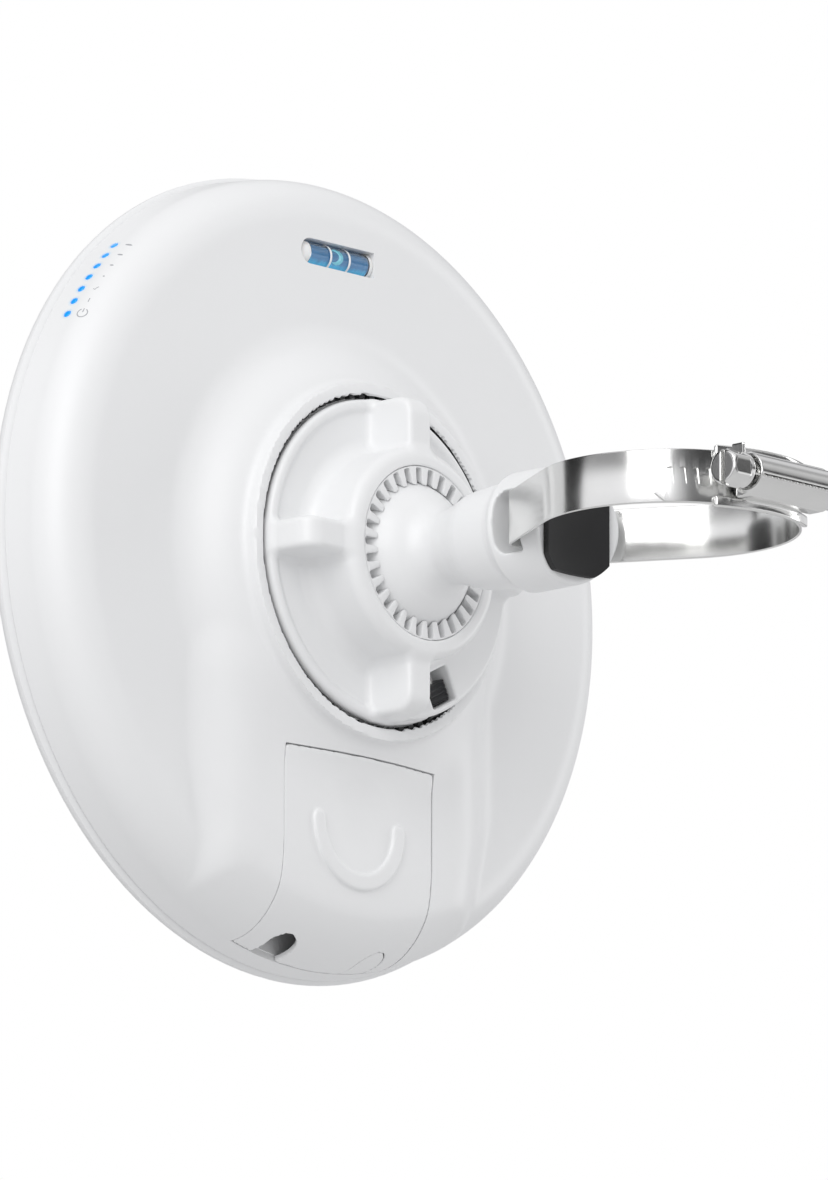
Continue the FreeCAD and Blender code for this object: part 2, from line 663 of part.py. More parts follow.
def band_slot():
    """Way for the band, deep at its sides and shallow over the ridge that the band bears on."""
    slot = raised(2 * SLOT_HALF_HEIGHT, (-30, SLOT_Y0), (30, SLOT_Y0), (30, SLOT_Y1), (11.5, SLOT_Y1),
                  (9.5, BAND_BACK_Y + 0.1), (-9.5, BAND_BACK_Y + 0.1), (-11.5, SLOT_Y1), (-30, SLOT_Y1))
    slot.translate(V(0, 0, -SLOT_HALF_HEIGHT))
    ends = [edge for edge in slot.Edges if edge.BoundBox.YLength < 0.01 and edge.BoundBox.ZLength < 0.01
            and abs(edge.BoundBox.YMin - SLOT_Y0) < 0.01]
    return slot.makeFillet(3.0, ends)


def saddle_pad():
    """Rubber grip between the saddle and the pole, with upright ribs."""
    outer = rod(POLE_RADIUS + GRIP_PAD, (0, 0, -12.0), (0, 0, 12.0))
    pad = outer.cut(rod(POLE_RADIUS, (0, 0, -20), (0, 0, 20)))
    return pad.common(box(-10.5, 10.5, -40, 0, -20, 20)).common(
        rod(SADDLE_RADIUS - 0.6, (0, -60, 0), (0, 0, 0)))


# ---------------------------------------------------------------- band clamp

def band_loop(inner_radius, back_y, height):
    """Solid inside the band's path: round the pole, then straight to the back of the saddle."""
    lean = degrees(asin(inner_radius / hypot(BAND_HALF_GAP, back_y)))
    bearing = degrees(atan2(back_y, BAND_HALF_GAP))
    touch = bearing + 90 - lean
    right = on_arc((0, 0), inner_radius, touch)
    left = (-right[0], right[1])
    loop = raised(height, right, ((0, inner_radius), left),
                  (-BAND_HALF_GAP, back_y), (BAND_HALF_GAP, back_y))
    corners = [edge for edge in loop.Edges if edge.BoundBox.ZLength > height - 0.1
               and edge.BoundBox.YMin < back_y + 0.5]
    loop = loop.makeFillet(BAND_BEND, corners)
    loop.translate(V(0, 0, -height / 2))
    return loop


def upright_ring(inner, outer, height):
    shape = rod(outer, (0, 0, -height / 2), (0, 0, height / 2))
    return shape.cut(rod(inner, (0, 0, -height), (0, 0, height)))


def upright_sector(first, last, height):
    solid = raised(height, (0, 0), on_arc((0, 0), 60, first),
                   (on_arc((0, 0), 60, (first + last) / 2), on_arc((0, 0), 60, last)))
    solid.translate(V(0, 0, -height / 2))
    return solid


def clamp_band():
    loop = band_loop(POLE_RADIUS + BAND_THICKNESS, BAND_BACK_Y - BAND_THICKNESS, BAND_WIDTH)
    hollow = band_loop(POLE_RADIUS, BAND_BACK_Y, BAND_WIDTH + 2)
    return loop.cut(hollow)


def band_tail():
    """Free end of the band over its other end, with the slots that the screw's thread runs in."""
    inner = POLE_RADIUS + BAND_THICKNESS
    tail = upright_ring(inner, inner + BAND_THICKNESS, BAND_WIDTH)
    tail = tail.common(upright_sector(TAIL_START, TAIL_END, 20))
    pitch = degrees(THREAD_SLOT_PITCH / inner)
    slots = []
    for index in range(int((TAIL_END - TAIL_START - 6) / pitch)):
        slot = box(inner - 1, inner + 3, -0.55, 0.55, -3.6, 3.6)
        slot.rotate(ORIGIN, V(1, 0, 0), 12)
        slot.rotate(ORIGIN, V(0, 0, 1), TAIL_START + 5 + pitch * index)
        slots.append(slot)
    corner_angle = degrees(TAIL_CHAMFER / inner)
    for side in (-1, 1):
        corner = box(-2, 2, -TAIL_CHAMFER * 0.7, TAIL_CHAMFER * 0.7, -TAIL_CHAMFER * 0.7, TAIL_CHAMFER * 0.7)
        corner.rotate(ORIGIN, V(1, 0, 0), 45)
        corner.translate(V(inner, 0, side * BAND_WIDTH / 2))
        corner.rotate(ORIGIN, V(0, 0, 1), TAIL_START - corner_angle * 0.1)
        slots.append(corner)
    return tail.cut(slots)


def clamp_housing():
    """Bent sheet housing: two curved rails over the band's edges and a tube round the screw."""
    rails = []
    reach = upright_sector(90 - RAIL_HALF_ANGLE, 90 + RAIL_HALF_ANGLE, 40)
    for side in (-1, 1):
        rail = upright_ring(RAIL_RADII[0], RAIL_RADII[1], RAIL_Z1 - RAIL_Z0)
        rail.translate(V(0, 0, side * (RAIL_Z0 + RAIL_Z1) / 2))
        rails.append(rail.common(reach))
    tube = rod(BARREL_RADIUS, (BARREL_X0, SCREW_Y, 0), (BARREL_X1, SCREW_Y, 0))
    webs = box(BARREL_X0 + 3, BARREL_X1 - 1, 32.4, SCREW_Y, -5.2, 5.2)
    bore = rod(BARREL_RADIUS - BARREL_WALL, (-40, SCREW_Y, 0), (40, SCREW_Y, 0))
    under = rod(RAIL_RADII[0], (0, 0, -20), (0, 0, 20))
    mouth = box(-13, 11, 30, SCREW_Y - 2.6, -3.6, 3.6)
    body = tube.fuse([webs] + rails)
    return body.cut([bore, under, mouth]).removeSplitter()


def clamp_screw():
    """Worm with a slotted hexagon head."""
    flats = SCREW_HEAD_FLATS / 2
    corner = flats / cos(pi / 6)
    first, *rest = [on_arc((0, 0), corner, 60 * index) for index in range(6)]
    head = raised(HEAD_X1 - HEAD_X0, first, *rest)
    head.rotate(ORIGIN, Y_AXIS, 90)
    head.translate(V(HEAD_X0, SCREW_Y, 0))
    dome = rod(flats + 0.35, (HEAD_X0 - 1, SCREW_Y, 0), (HEAD_X1, SCREW_Y, 0))
    rim = [edge for edge in dome.Edges if abs(edge.BoundBox.XMin - HEAD_X1) < 0.01
           and edge.BoundBox.XLength < 0.01]
    head = head.common(dome.makeFillet(1.2, rim))
    slot_width, slot_depth = HEAD_SLOT
    head = head.cut(box(HEAD_X1 - slot_depth, HEAD_X1 + 1,
                        SCREW_Y - slot_width / 2, SCREW_Y + slot_width / 2, -10, 10))
    washer = rod(flats + 0.2, (HEAD_X0 - 1.4, SCREW_Y, 0), (HEAD_X0, SCREW_Y, 0))
    shank = rod(WORM_ROOT, (BARREL_X0 - 0.5, SCREW_Y, 0), (HEAD_X0, SCREW_Y, 0))
    threads = []
    x = BARREL_X0 + 2.0
    while x < BARREL_X1 - 2.0:
        thread = turned((WORM_ROOT - 0.5, 0), (WORM_ROOT, 0), (WORM_RADIUS, 0.35), (WORM_RADIUS, 0.75),
                        (WORM_ROOT, 1.1), (WORM_ROOT - 0.5, 1.1))
        thread.rotate(ORIGIN, V(0, 0, 1), -90)
        thread.translate(V(x, SCREW_Y, 0))
        threads.append(thread)
        x += WORM_PITCH
    return shank.fuse([washer, head] + threads).removeSplitter()


def heat_spreader():
    """Aluminium plate over the shield cans, cut away round the ball cup."""
    y0 = BOARD_Y + BOARD_THICKNESS + 2.4 + 0.8
    plate = box(-57, 57, y0, y0 + 1.5, -16, 56)
    gaps = [rod(4.0, (x, 0, z), (x, 40, z)) for x, z in BOARD_SCREWS]
    return plate.cut(gaps + [disc(26.0, 0, 40)]).common(disc(62.0, 0, 40))


def thermal_pads():
    y0 = BOARD_Y + BOARD_THICKNESS + 2.4
    pads = [box(side * 42 - 10, side * 42 + 10, y0, y0 + 0.8, -8, 12) for side in (-1, 1)]
    return Part.makeCompound(pads)


def vent_membrane():
    x, z = VENT_PLACE
    return rod(2.9, (x, BACK_Y - 1.9, z), (x, BACK_Y - 1.3, z))


DISH_PIECES = {
    "rear_housing": rear_housing, "radome": radome, "rim_gasket": rim_gasket, "status_lights": status_lights,
    "light_board": light_board, "port_cover": port_cover, "cable_knockout": cable_knockout,
    "main_board": main_board, "board_screws": board_screws, "shield_cans": shield_cans,
    "thermal_pads": thermal_pads, "heat_spreader": heat_spreader,
    "reflector": reflector, "feed_tube": feed_tube, "feed_cone": feed_cone,
    "sub_reflector": sub_reflector, "ethernet_jack": ethernet_jack, "jack_contacts": jack_contacts,
    "jack_gasket": jack_gasket, "reset_button": reset_button, "reset_switch": reset_switch,
    "ball_cup": ball_cup, "cup_screws": cup_screws, "reflector_screws": reflector_screws,
    "front_friction_pad": lambda: zone(*PAD_RADII, *FRONT_PAD),
    "rear_friction_pad": lambda: zone(*PAD_RADII, *REAR_PAD),
    "collet_ring": collet_ring, "detent_ring": detent_ring, "lock_nut": lock_nut,
    "release_tab": release_tab, "tab_spring": tab_spring, "vent_membrane": vent_membrane,
}
POLE_PIECES = {
    "ball_arm": ball_arm, "saddle_pad": saddle_pad, "clamp_band": clamp_band,
    "band_tail": band_tail, "clamp_housing": clamp_housing, "clamp_screw": clamp_screw,
}


def main():
    os.makedirs("parts", exist_ok=True)
    for name, make in DISH_PIECES.items():
        save_dish(name, make())
    for name, piece in vial_pieces().items():
        save_dish(name, piece)
    for name, make in POLE_PIECES.items():
        save(name, make())


main()
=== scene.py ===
import json
from math import asin, atan2, ceil, cos, hypot, pi, radians, sin
from types import SimpleNamespace

import bmesh
import bpy
import numpy as np
import openvdb
from bpy.props import FloatProperty, FloatVectorProperty, IntProperty, PointerProperty
from bpy.types import Operator, Panel, PropertyGroup
from mathutils import Matrix, Vector


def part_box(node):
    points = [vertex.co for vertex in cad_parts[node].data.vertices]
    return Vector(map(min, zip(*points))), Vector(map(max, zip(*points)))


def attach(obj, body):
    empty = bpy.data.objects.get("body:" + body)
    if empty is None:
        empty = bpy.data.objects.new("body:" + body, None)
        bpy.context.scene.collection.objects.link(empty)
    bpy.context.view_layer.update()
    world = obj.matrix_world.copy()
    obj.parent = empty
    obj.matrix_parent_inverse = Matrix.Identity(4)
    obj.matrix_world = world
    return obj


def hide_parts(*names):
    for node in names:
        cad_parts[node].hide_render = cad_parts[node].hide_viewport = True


bl_info = {
    "name": "Outdoor wireless bridge",
    "version": (1, 0, 0),
    "blender": (4, 5, 0),
    "location": "3D View > Sidebar > Wireless Bridge",
    "description": "Round dish radio on a ball joint, held to a pole by a worm-drive band",
    "category": "Object",
}

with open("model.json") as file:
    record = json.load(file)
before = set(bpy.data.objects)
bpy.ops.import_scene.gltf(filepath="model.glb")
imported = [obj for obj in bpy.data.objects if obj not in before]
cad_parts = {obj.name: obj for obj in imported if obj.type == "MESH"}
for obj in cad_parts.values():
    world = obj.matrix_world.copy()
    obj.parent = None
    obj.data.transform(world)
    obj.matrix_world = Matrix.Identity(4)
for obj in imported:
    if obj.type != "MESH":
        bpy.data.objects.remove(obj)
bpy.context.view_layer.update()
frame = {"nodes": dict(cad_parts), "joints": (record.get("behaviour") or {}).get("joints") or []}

MM = 0.001
FINISH_PREFIX = "finish_"
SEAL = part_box("rim_gasket")
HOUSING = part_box("rear_housing")
BOSS_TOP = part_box("detent_ring")[0]
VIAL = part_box("vial_tube")
VIAL_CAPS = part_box("vial_end_caps")
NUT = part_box("lock_nut")
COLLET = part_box("collet_ring")
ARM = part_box("ball_arm")
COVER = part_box("port_cover")
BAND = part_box("clamp_band")
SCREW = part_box("clamp_screw")
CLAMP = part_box("clamp_housing")
PARTING_Y = SEAL[1].y
BALL_Y = next(joint["pos_m"][1] for joint in frame["joints"] if joint["name"] == "pan")


def length(label, default, about):
    return FloatProperty(name=label, description=about, default=default, min=0.0, unit="LENGTH", precision=5)


def angle(label, degrees, about):
    return FloatProperty(name=label, description=about, default=radians(degrees), subtype="ANGLE")


def colour(label, default, about):
    return FloatVectorProperty(name=label, description=about, default=default, size=3, min=0, max=1,
                               subtype="COLOR")


class HousingSizes(PropertyGroup):
    """Outer shape of the rear housing, in heights above the joint line."""
    radius: length("Radius", HOUSING[1].x, "Radius of the rim at the joint line")
    back: length("Back", 0.0177, "Height of the flat back")
    rim_round: length("Rim round", 0.0114, "Radius between the back and the side")
    draft: length("Draft", 0.0007, "How far the side leans in")
    wall: length("Wall", 0.0024, "Thickness of the moulding")
    boss_radius: length("Boss radius", 0.0476, "Radius of the round boss behind the joint")
    boss_height: length("Boss height", BOSS_TOP.y - PARTING_Y, "Height of the boss, without its lip")
    boss_round: length("Boss round", 0.0078, "Radius on the boss's edge")
    boss_foot: length("Boss foot", 0.0115, "Hollow radius at the boss's foot")
    lip_inner: length("Lip inner", 0.0397, "Inner radius of the lip round the lock nut")
    lip_outer: length("Lip outer", 0.0428, "Outer radius of the lip round the lock nut")
    lip_height: length("Lip height", 0.0028, "Height of the lip above the boss")
    boss_bore: length("Boss bore", 0.0226, "Radius of the bore that takes the ball cup")
    channel_half: length("Channel half width", 0.046, "Half width of the raised channel")
    channel_height: length("Channel height", 0.02365, "Height of the channel's flat")
    channel_round: length("Channel shoulder", 0.0135, "Radius along the channel's shoulders")
    channel_foot: length("Channel foot", 0.0085, "Hollow radius beside the channel")
    channel_end: length("Channel end", 0.0189, "Radius where the channel turns down to the rim")


class CoverSizes(PropertyGroup):
    """Port cover at the foot of the channel."""
    half_width: length("Half width", COVER[1].x, "Half width of the cover")
    drop: length("Drop", -COVER[1].z, "How far the cover's top is below the centre")
    bottom: length("Bottom", COVER[0].y - PARTING_Y, "Height of the cover's edge at the rim")
    gap: length("Gap", 0.0003, "Gap all round the cover")
    wall: length("Wall", 0.0022, "Thickness of the cover")
    notch_place: length("Notch place", 0.015, "Distance of each cable notch from the middle")
    notch_radius: length("Notch radius", 0.004, "Radius of each cable notch")
    notch_height: length("Notch height", 0.012, "Height of the notch's round end")
    grip_drop: length("Grip drop", 0.0623, "How far the thumb dimple is below the centre")
    dimple_radius: length("Dimple radius", 0.0098, "Radius of the thumb dimple")
    dimple_depth: length("Dimple depth", 0.0013, "Depth of the thumb dimple")
    ridge_radius: length("Ridge radius", 0.0135, "Radius of the crescent ridge")
    ridge_half: length("Ridge half width", 0.002, "Half width of the crescent ridge")
    ridge_height: length("Ridge height", 0.0014, "Height of the crescent ridge")


class NutSizes(PropertyGroup):
    """Lock nut, its collet ring and its release tab."""
    flange_radius: length("Flange radius", NUT[1].x - 0.0003, "Radius of the flange")
    hub_radius: length("Hub radius", 0.0252, "Radius of the hub")
    hub_round: length("Hub round", 0.0028, "Radius on the hub's edge")
    hub_foot: length("Hub foot", 0.0042, "Hollow radius at the hub's foot")
    lug_half: length("Lug half width", 0.0038, "Half width of each lug")
    lug_round: length("Lug round", 0.0048, "Radius on each lug's outer corner")
    collet_bore: length("Collet bore", 0.0208, "Radius inside the hub's lip")
    cup_bore: length("Cup bore", 0.0223, "Radius inside the hub below its lip")
    slot_count: IntProperty(name="Slots", description="Slots round the collet", default=30, min=3)
    tab_angle: angle("Tab angle", 243.0, "Place of the release tab, counted from +X towards +Z")


class ArmSizes(PropertyGroup):
    """Ball, neck and saddle."""
    ball_radius: length("Ball radius", 0.0194, "Radius of the ball")
    neck_radius: length("Neck radius", 0.010, "Radius of the neck behind the ball")
    neck_blend: length("Neck blend", 0.003, "Hollow radius between ball and neck")
    collar_radius: length("Collar radius", 0.0127, "Radius at the saddle's shoulder")
    saddle_radius: length("Saddle radius", ARM[1].x if ARM[1].x < 0.015 else 0.0143, "Radius of the saddle")
    pole_radius: length("Pole radius", 0.03165, "Radius that the saddle is cut to")
    slot_half: length("Slot half height", 0.0075, "Half height of the slot for the band")
    slot_round: length("Slot round", 0.003, "Radius in the slot's deep corners")


class ClampSizes(PropertyGroup):
    """Band, its screw and the screw's housing."""
    pole_radius: length("Pole radius", 0.03015, "Radius of the pole that the band goes round")
    thickness: length("Thickness", 0.0007, "Thickness of the band")
    width: length("Width", BAND[1].z - BAND[0].z, "Width of the band")
    gap_half: length("Half gap", 0.0142, "Half width of the band's straight run behind the saddle")
    bend: length("Bend", 0.0023, "Radius of the band's bends")
    slot_pitch: length("Slot pitch", 0.003, "Distance between the slots for the worm")
    tail_start: angle("Tail start", 36.0, "Angle of the band's free end")
    tail_end: angle("Tail end", 118.0, "Angle where the tail passes under the housing")
    screw_y: length("Screw place", 0.0366, "Distance of the screw's axis from the pole's axis")
    barrel_radius: length("Barrel radius", 0.0045, "Outer radius of the tube round the worm")
    head_flats: length("Head flats", 0.008, "Width across the flats of the head")


class VialSizes(PropertyGroup):
    """Level vial on the back."""
    radius: length("Radius", 0.003, "Outer radius of the tube")
    far_cap: length("Far cap", 0.0013, "Visible length of the end cap at the -X end")
    bubble_half: length("Bubble half length", 0.0036, "Half length of the bubble's sphere")
    bubble_place: FloatProperty(name="Bubble place", description="Bubble's place along X", default=0.0008,
                                unit="LENGTH", precision=5)


class LightSizes(PropertyGroup):
    """Row of status lights on the rim."""
    count: IntProperty(name="Count", description="How many lights", default=7, min=1)
    first: angle("First", 32.0, "Angle of the lowest light, counted from +X towards +Z")
    last: angle("Last", 47.0, "Angle of the highest light")
    radius: length("Radius", 0.00095, "Radius of each light")
    height: length("Height", 0.0054, "Height of the row above the joint line")


class Finishes(PropertyGroup):
    """Colours of the finishes."""
    white: colour("White", (0.86, 0.865, 0.87), "White moulded plastic")
    ink: colour("Ink", (0.40, 0.41, 0.43), "Printed symbols")
    dark: colour("Dark", (0.02, 0.021, 0.023), "Dark moulded plastic")
    blue: colour("Blue", (0.01, 0.32, 0.92), "Status lights")
    fluid: colour("Fluid", (0.10, 0.25, 0.46), "Fluid in the vial")
    steel: colour("Steel", (0.80, 0.80, 0.79), "Stainless steel")


class StageSettings(PropertyGroup):
    """Camera, floor and light."""
    azimuth: angle("Azimuth", 133.0, "Direction that the camera looks from")
    elevation: angle("Elevation", -12.2, "Height that the camera looks from")
    frame_height: length("Frame height", 0.2785, "Height that the picture covers")
    lens: FloatProperty(name="Lens", description="Focal length in millimetres", default=600.0, min=1)
    floor_drop: length("Floor drop", 2.6, "How far the floor is below the object")
    world: FloatProperty(name="World", description="Strength of the even light", default=0.72, min=0)
    key: FloatProperty(name="Key", description="Power of the key light", default=9.0, unit="POWER")
    fill: FloatProperty(name="Fill", description="Power of the fill light", default=5.0, unit="POWER")


# ------------------------------------------------------------------ fields

def in_mm(group):
    """A property group's lengths as plain numbers in millimetres, and its other values as they are."""
    values = {}
    for key, prop in group.bl_rna.properties.items():
        if prop.type in {"FLOAT", "INT"} and not prop.is_array:
            value = getattr(group, key)
            values[key] = value / MM if prop.unit == "LENGTH" else value
    return SimpleNamespace(**values)


def meet(a, b, radius=0.0):
    """Space inside both fields, with their common edge rounded."""
    outside = np.hypot(np.maximum(a + radius, 0), np.maximum(b + radius, 0))
    return outside + np.minimum(np.maximum(a, b) + radius, 0) - radius


def join(a, b, radius=0.0):
    """Space inside either field, with a hollow radius between them."""
    return -meet(-a, -b, radius)


def cut(a, b, radius=0.0):
    return meet(a, -b, radius)


def between(value, low, high):
    return np.maximum(low - value, value - high)


def turned_to(x, z, place):
    """Coordinates along and across a direction in the XZ plane."""
    return x * cos(place) + z * sin(place), z * cos(place) - x * sin(place)


def slope(field, points, step=0.02):
    """Gradient of a field at the points, by central differences."""
    columns = []
    for axis in range(3):
        shift = np.zeros(3)
        shift[axis] = step
        ahead, behind = points + shift, points - shift
        columns.append((field(*ahead.T) - field(*behind.T)) / (2 * step))
    return np.stack(columns, axis=1)


def settle(field, points, cell):
    """Move points that are near a field's surface onto it."""
    for _ in range(3):
        gradient = slope(field, points)
        steep = np.maximum((gradient ** 2).sum(axis=1), 0.05)
        step = np.clip(field(*points.T) / steep, -cell, cell)
        points = points - step[:, None] * gradient
    return points


def relax(points, quads):
    """Move each point halfway to the mean of its neighbours."""
    ends = np.concatenate([quads[:, [side, (side + 1) % 4]] for side in range(4)])
    ends = np.concatenate([ends, ends[:, ::-1]])
    count = np.bincount(ends[:, 0], minlength=len(points))
    means = [np.bincount(ends[:, 0], points[ends[:, 1], axis], len(points)) for axis in range(3)]
    return 0.5 * points + 0.5 * np.stack(means, axis=1) / count[:, None]


def moulded(name, field, low, high, cell, offset_y=0.0, relaxed=2):
    """Closed mesh round the space where a field of millimetre points is below zero."""
    axes = [np.arange(a - 2.5 * cell, b + 2.5 * cell, cell) for a, b in zip(low, high)]
    values = np.empty([len(axis) for axis in axes], np.float32)
    for start in range(0, len(axes[0]), 24):
        part = slice(start, start + 24)
        values[part] = field(axes[0][part, None, None], axes[1][None, :, None], axes[2][None, None, :])
    grid = openvdb.FloatGrid(background=3 * cell)
    grid.copyFromArray(np.clip(values / cell, -3, 3).astype(np.float32))
    points, quads = grid.convertToQuads(0.0)
    points = np.array([axis[0] for axis in axes]) + points.astype(float) * cell
    quads = quads.astype(np.int64)
    for _ in range(relaxed):
        points = settle(field, relax(points, quads), cell)
    points[:, 1] += offset_y
    return mesh_piece(name, points * MM, quads)


def mesh_piece(name, points, faces, sharp=40.0):
    """Mesh object with outward normals, smooth except along sharp edges."""
    mesh = bpy.data.meshes.new(name)
    corners_of_faces = faces.tolist() if isinstance(faces, np.ndarray) else faces
    mesh.from_pydata(np.array(points).tolist(), [], corners_of_faces)
    shell = bmesh.new()
    shell.from_mesh(mesh)
    bmesh.ops.recalc_face_normals(shell, faces=shell.faces)
    if shell.calc_volume(signed=True) < 0:
        bmesh.ops.reverse_faces(shell, faces=shell.faces)
    shell.to_mesh(mesh)
    shell.free()
    piece = bpy.data.objects.new(name, mesh)
    bpy.context.scene.collection.objects.link(piece)
    smooth(piece, sharp)
    return piece


def smooth(piece, sharp=40.0):
    piece.data.polygons.foreach_set("use_smooth", [True] * len(piece.data.polygons))
    piece.data.set_sharp_from_angle(angle=radians(sharp))


def apply_modifiers(piece):
    graph = bpy.context.evaluated_depsgraph_get()
    mesh = bpy.data.meshes.new_from_object(piece.evaluated_get(graph))
    piece.modifiers.clear()
    old = piece.data
    piece.data = mesh
    bpy.data.meshes.remove(old)


def carve(piece, cutter, operation="DIFFERENCE", sharp=40.0):
    """Cut a piece with another mesh, which is used up."""
    modifier = piece.modifiers.new("cut", "BOOLEAN")
    modifier.object = cutter
    modifier.operation = operation
    modifier.solver = "EXACT"
    bpy.context.view_layer.update()
    apply_modifiers(piece)
    bpy.data.objects.remove(cutter)
    smooth(piece, sharp)


def merged(name, pieces):
    """One object from several, which are used up."""
    shell = bmesh.new()
    for piece in pieces:
        shell.from_mesh(piece.data)
        bpy.data.objects.remove(piece)
    mesh = bpy.data.meshes.new(name)
    shell.to_mesh(mesh)
    shell.free()
    result = bpy.data.objects.new(name, mesh)
    bpy.context.scene.collection.objects.link(result)
    smooth(result)
    return result


def block(low, high, offset_y=0.0):
    """Plain cutter between two corners, in millimetres."""
    corners = [(x, y + offset_y, z) for x in (low[0], high[0]) for y in (low[1], high[1])
               for z in (low[2], high[2])]
    faces = [(0, 1, 3, 2), (4, 6, 7, 5), (0, 4, 5, 1), (2, 3, 7, 6), (0, 2, 6, 4), (1, 5, 7, 3)]
    return mesh_piece("cutter", np.array(corners) * MM, faces)


def lathe(name, profile, steps, origin, axis, sharp=40.0):
    """Solid of revolution: (radius, height) points in millimetres, closed on the axis at both ends."""
    start, end = profile[0], profile[-1]
    ring = [point for point in profile if point[0] > 1e-6]
    points, faces = [], []
    for step in range(steps):
        turn = 2 * pi * step / steps
        points += [(radius * cos(turn), radius * sin(turn), height) for radius, height in ring]
    count = len(ring)
    for step in range(steps):
        here, ahead = step * count, (step + 1) % steps * count
        faces += [(here + k, ahead + k, ahead + k + 1, here + k + 1) for k in range(count - 1)]
    closed_loop = start[0] > 1e-6 and end[0] > 1e-6
    for cap, at in ((start, 0), (end, count - 1)):
        if cap[0] <= 1e-6:
            points.append((0, 0, cap[1]))
            middle = len(points) - 1
            faces += [(step * count + at, (step + 1) % steps * count + at, middle) for step in range(steps)]
    if closed_loop:
        for step in range(steps):
            here, ahead = step * count, (step + 1) % steps * count
            faces.append((here + count - 1, ahead + count - 1, ahead, here))
    turn = Vector((0, 0, 1)).rotation_difference(Vector(axis)).to_matrix().to_4x4()
    place = Matrix.Translation(origin) @ turn
    return mesh_piece(name, [place @ (Vector(point) * MM) for point in points], faces, sharp)


def arc_points(centre, radius, first, last, count):
    """Points on an arc, with its angles in degrees."""
    turns = [radians(first + (last - first) * index / (count - 1)) for index in range(count)]
    return [(centre[0] + radius * cos(turn), centre[1] + radius * sin(turn)) for turn in turns]


# ------------------------------------------------------------------ finishes

def node_group(name, inputs, outputs):
    """New shader node group with its sockets; returns it with its input and output nodes."""
    group = bpy.data.node_groups.new(name, "ShaderNodeTree")
    for label, kind, default in inputs:
        socket = group.interface.new_socket(label, in_out="INPUT", socket_type=kind)
        if default is not None:
            socket.default_value = default
    for label, kind in outputs:
        group.interface.new_socket(label, in_out="OUTPUT", socket_type=kind)
    return group, group.nodes.new("NodeGroupInput"), group.nodes.new("NodeGroupOutput")


def add(tree, kind, links=None, **values):
    """New node with its properties, its sockets' values and the sockets that feed it."""
    node = tree.nodes.new(kind)
    for key, value in values.items():
        setattr(node, key, value)
    for key, source in (links or {}).items():
        if isinstance(source, bpy.types.NodeSocket):
            tree.links.new(source, node.inputs[key])
        else:
            node.inputs[key].default_value = source
    return node


def math_node(tree, operation, first, second=0.0, third=0.0):
    node = add(tree, "ShaderNodeMath", {0: first, 1: second, 2: third}, operation=operation)
    return node.outputs[0]


def blend(tree, factor, first, second, **values):
    """Colour between two others."""
    return add(tree, "ShaderNodeMix", {0: factor, 6: first, 7: second}, data_type="RGBA", **values).outputs[2]


def moulded_grain():
    """Fine pebbled grain of a mould's surface, with a slow drift in gloss and tone."""
    group, given, out = node_group(
        "moulded_grain", [("Size", "NodeSocketFloat", 0.0004), ("Gloss", "NodeSocketFloat", 0.4),
                          ("Drift", "NodeSocketFloat", 0.05)],
        [("Height", "NodeSocketFloat"), ("Roughness", "NodeSocketFloat"), ("Tone", "NodeSocketFloat")])
    place = add(group, "ShaderNodeTexCoord").outputs["Object"]
    scale = math_node(group, "DIVIDE", 1.0, given.outputs["Size"])
    grain = add(group, "ShaderNodeTexNoise", {"Vector": place, "Scale": scale, "Detail": 2.0})
    flow = add(group, "ShaderNodeTexNoise", {"Vector": place, "Scale": 28.0, "Detail": 3.0})
    offset = math_node(group, "SUBTRACT", flow.outputs["Fac"], 0.5)
    rough = math_node(group, "MULTIPLY_ADD", offset, given.outputs["Drift"], given.outputs["Gloss"])
    group.links.new(grain.outputs["Fac"], out.inputs["Height"])
    group.links.new(rough, out.inputs["Roughness"])
    group.links.new(flow.outputs["Fac"], out.inputs["Tone"])
    return group


def drawn_metal():
    """Fine lines of drawn or rolled metal along one axis, with light smears."""
    group, given, out = node_group(
        "drawn_metal", [("Stretch", "NodeSocketVector", (1.0, 1.0, 1.0)), ("Gloss", "NodeSocketFloat", 0.2),
                        ("Drift", "NodeSocketFloat", 0.1)],
        [("Height", "NodeSocketFloat"), ("Roughness", "NodeSocketFloat"), ("Tone", "NodeSocketFloat")])
    place = add(group, "ShaderNodeTexCoord").outputs["Object"]
    scaled = add(group, "ShaderNodeVectorMath", {0: place, 1: given.outputs["Stretch"]}, operation="MULTIPLY")
    lines = add(group, "ShaderNodeTexNoise", {"Vector": scaled.outputs[0], "Scale": 900.0, "Detail": 3.0})
    smear = add(group, "ShaderNodeTexNoise", {"Vector": place, "Scale": 160.0, "Detail": 4.0})
    both = math_node(group, "ADD", lines.outputs["Fac"], smear.outputs["Fac"])
    offset = math_node(group, "SUBTRACT", both, 1.0)
    rough = math_node(group, "MULTIPLY_ADD", offset, given.outputs["Drift"], given.outputs["Gloss"])
    group.links.new(lines.outputs["Fac"], out.inputs["Height"])
    group.links.new(rough, out.inputs["Roughness"])
    group.links.new(smear.outputs["Fac"], out.inputs["Tone"])
    return group


def shared_group(make):
    return bpy.data.node_groups.get(make.__name__) or make()


def new_material(name):
    material = bpy.data.materials.new(name)
    material.use_nodes = True
    tree = material.node_tree
    return material, tree, tree.nodes["Principled BSDF"]


def tinted(tree, tone, colour_value, spread):
    """Base colour that drifts a little between a darker and a lighter tone."""
    dark = tuple(channel * (1 - spread) for channel in colour_value) + (1.0,)
    light = tuple(min(1.0, channel * (1 + spread)) for channel in colour_value) + (1.0,)
    return blend(tree, tone, dark, light)


def bumped(tree, height, depth):
    bump = add(tree, "ShaderNodeBump", {"Height": height, "Strength": 1.0, "Distance": depth})
    return bump.outputs["Normal"]


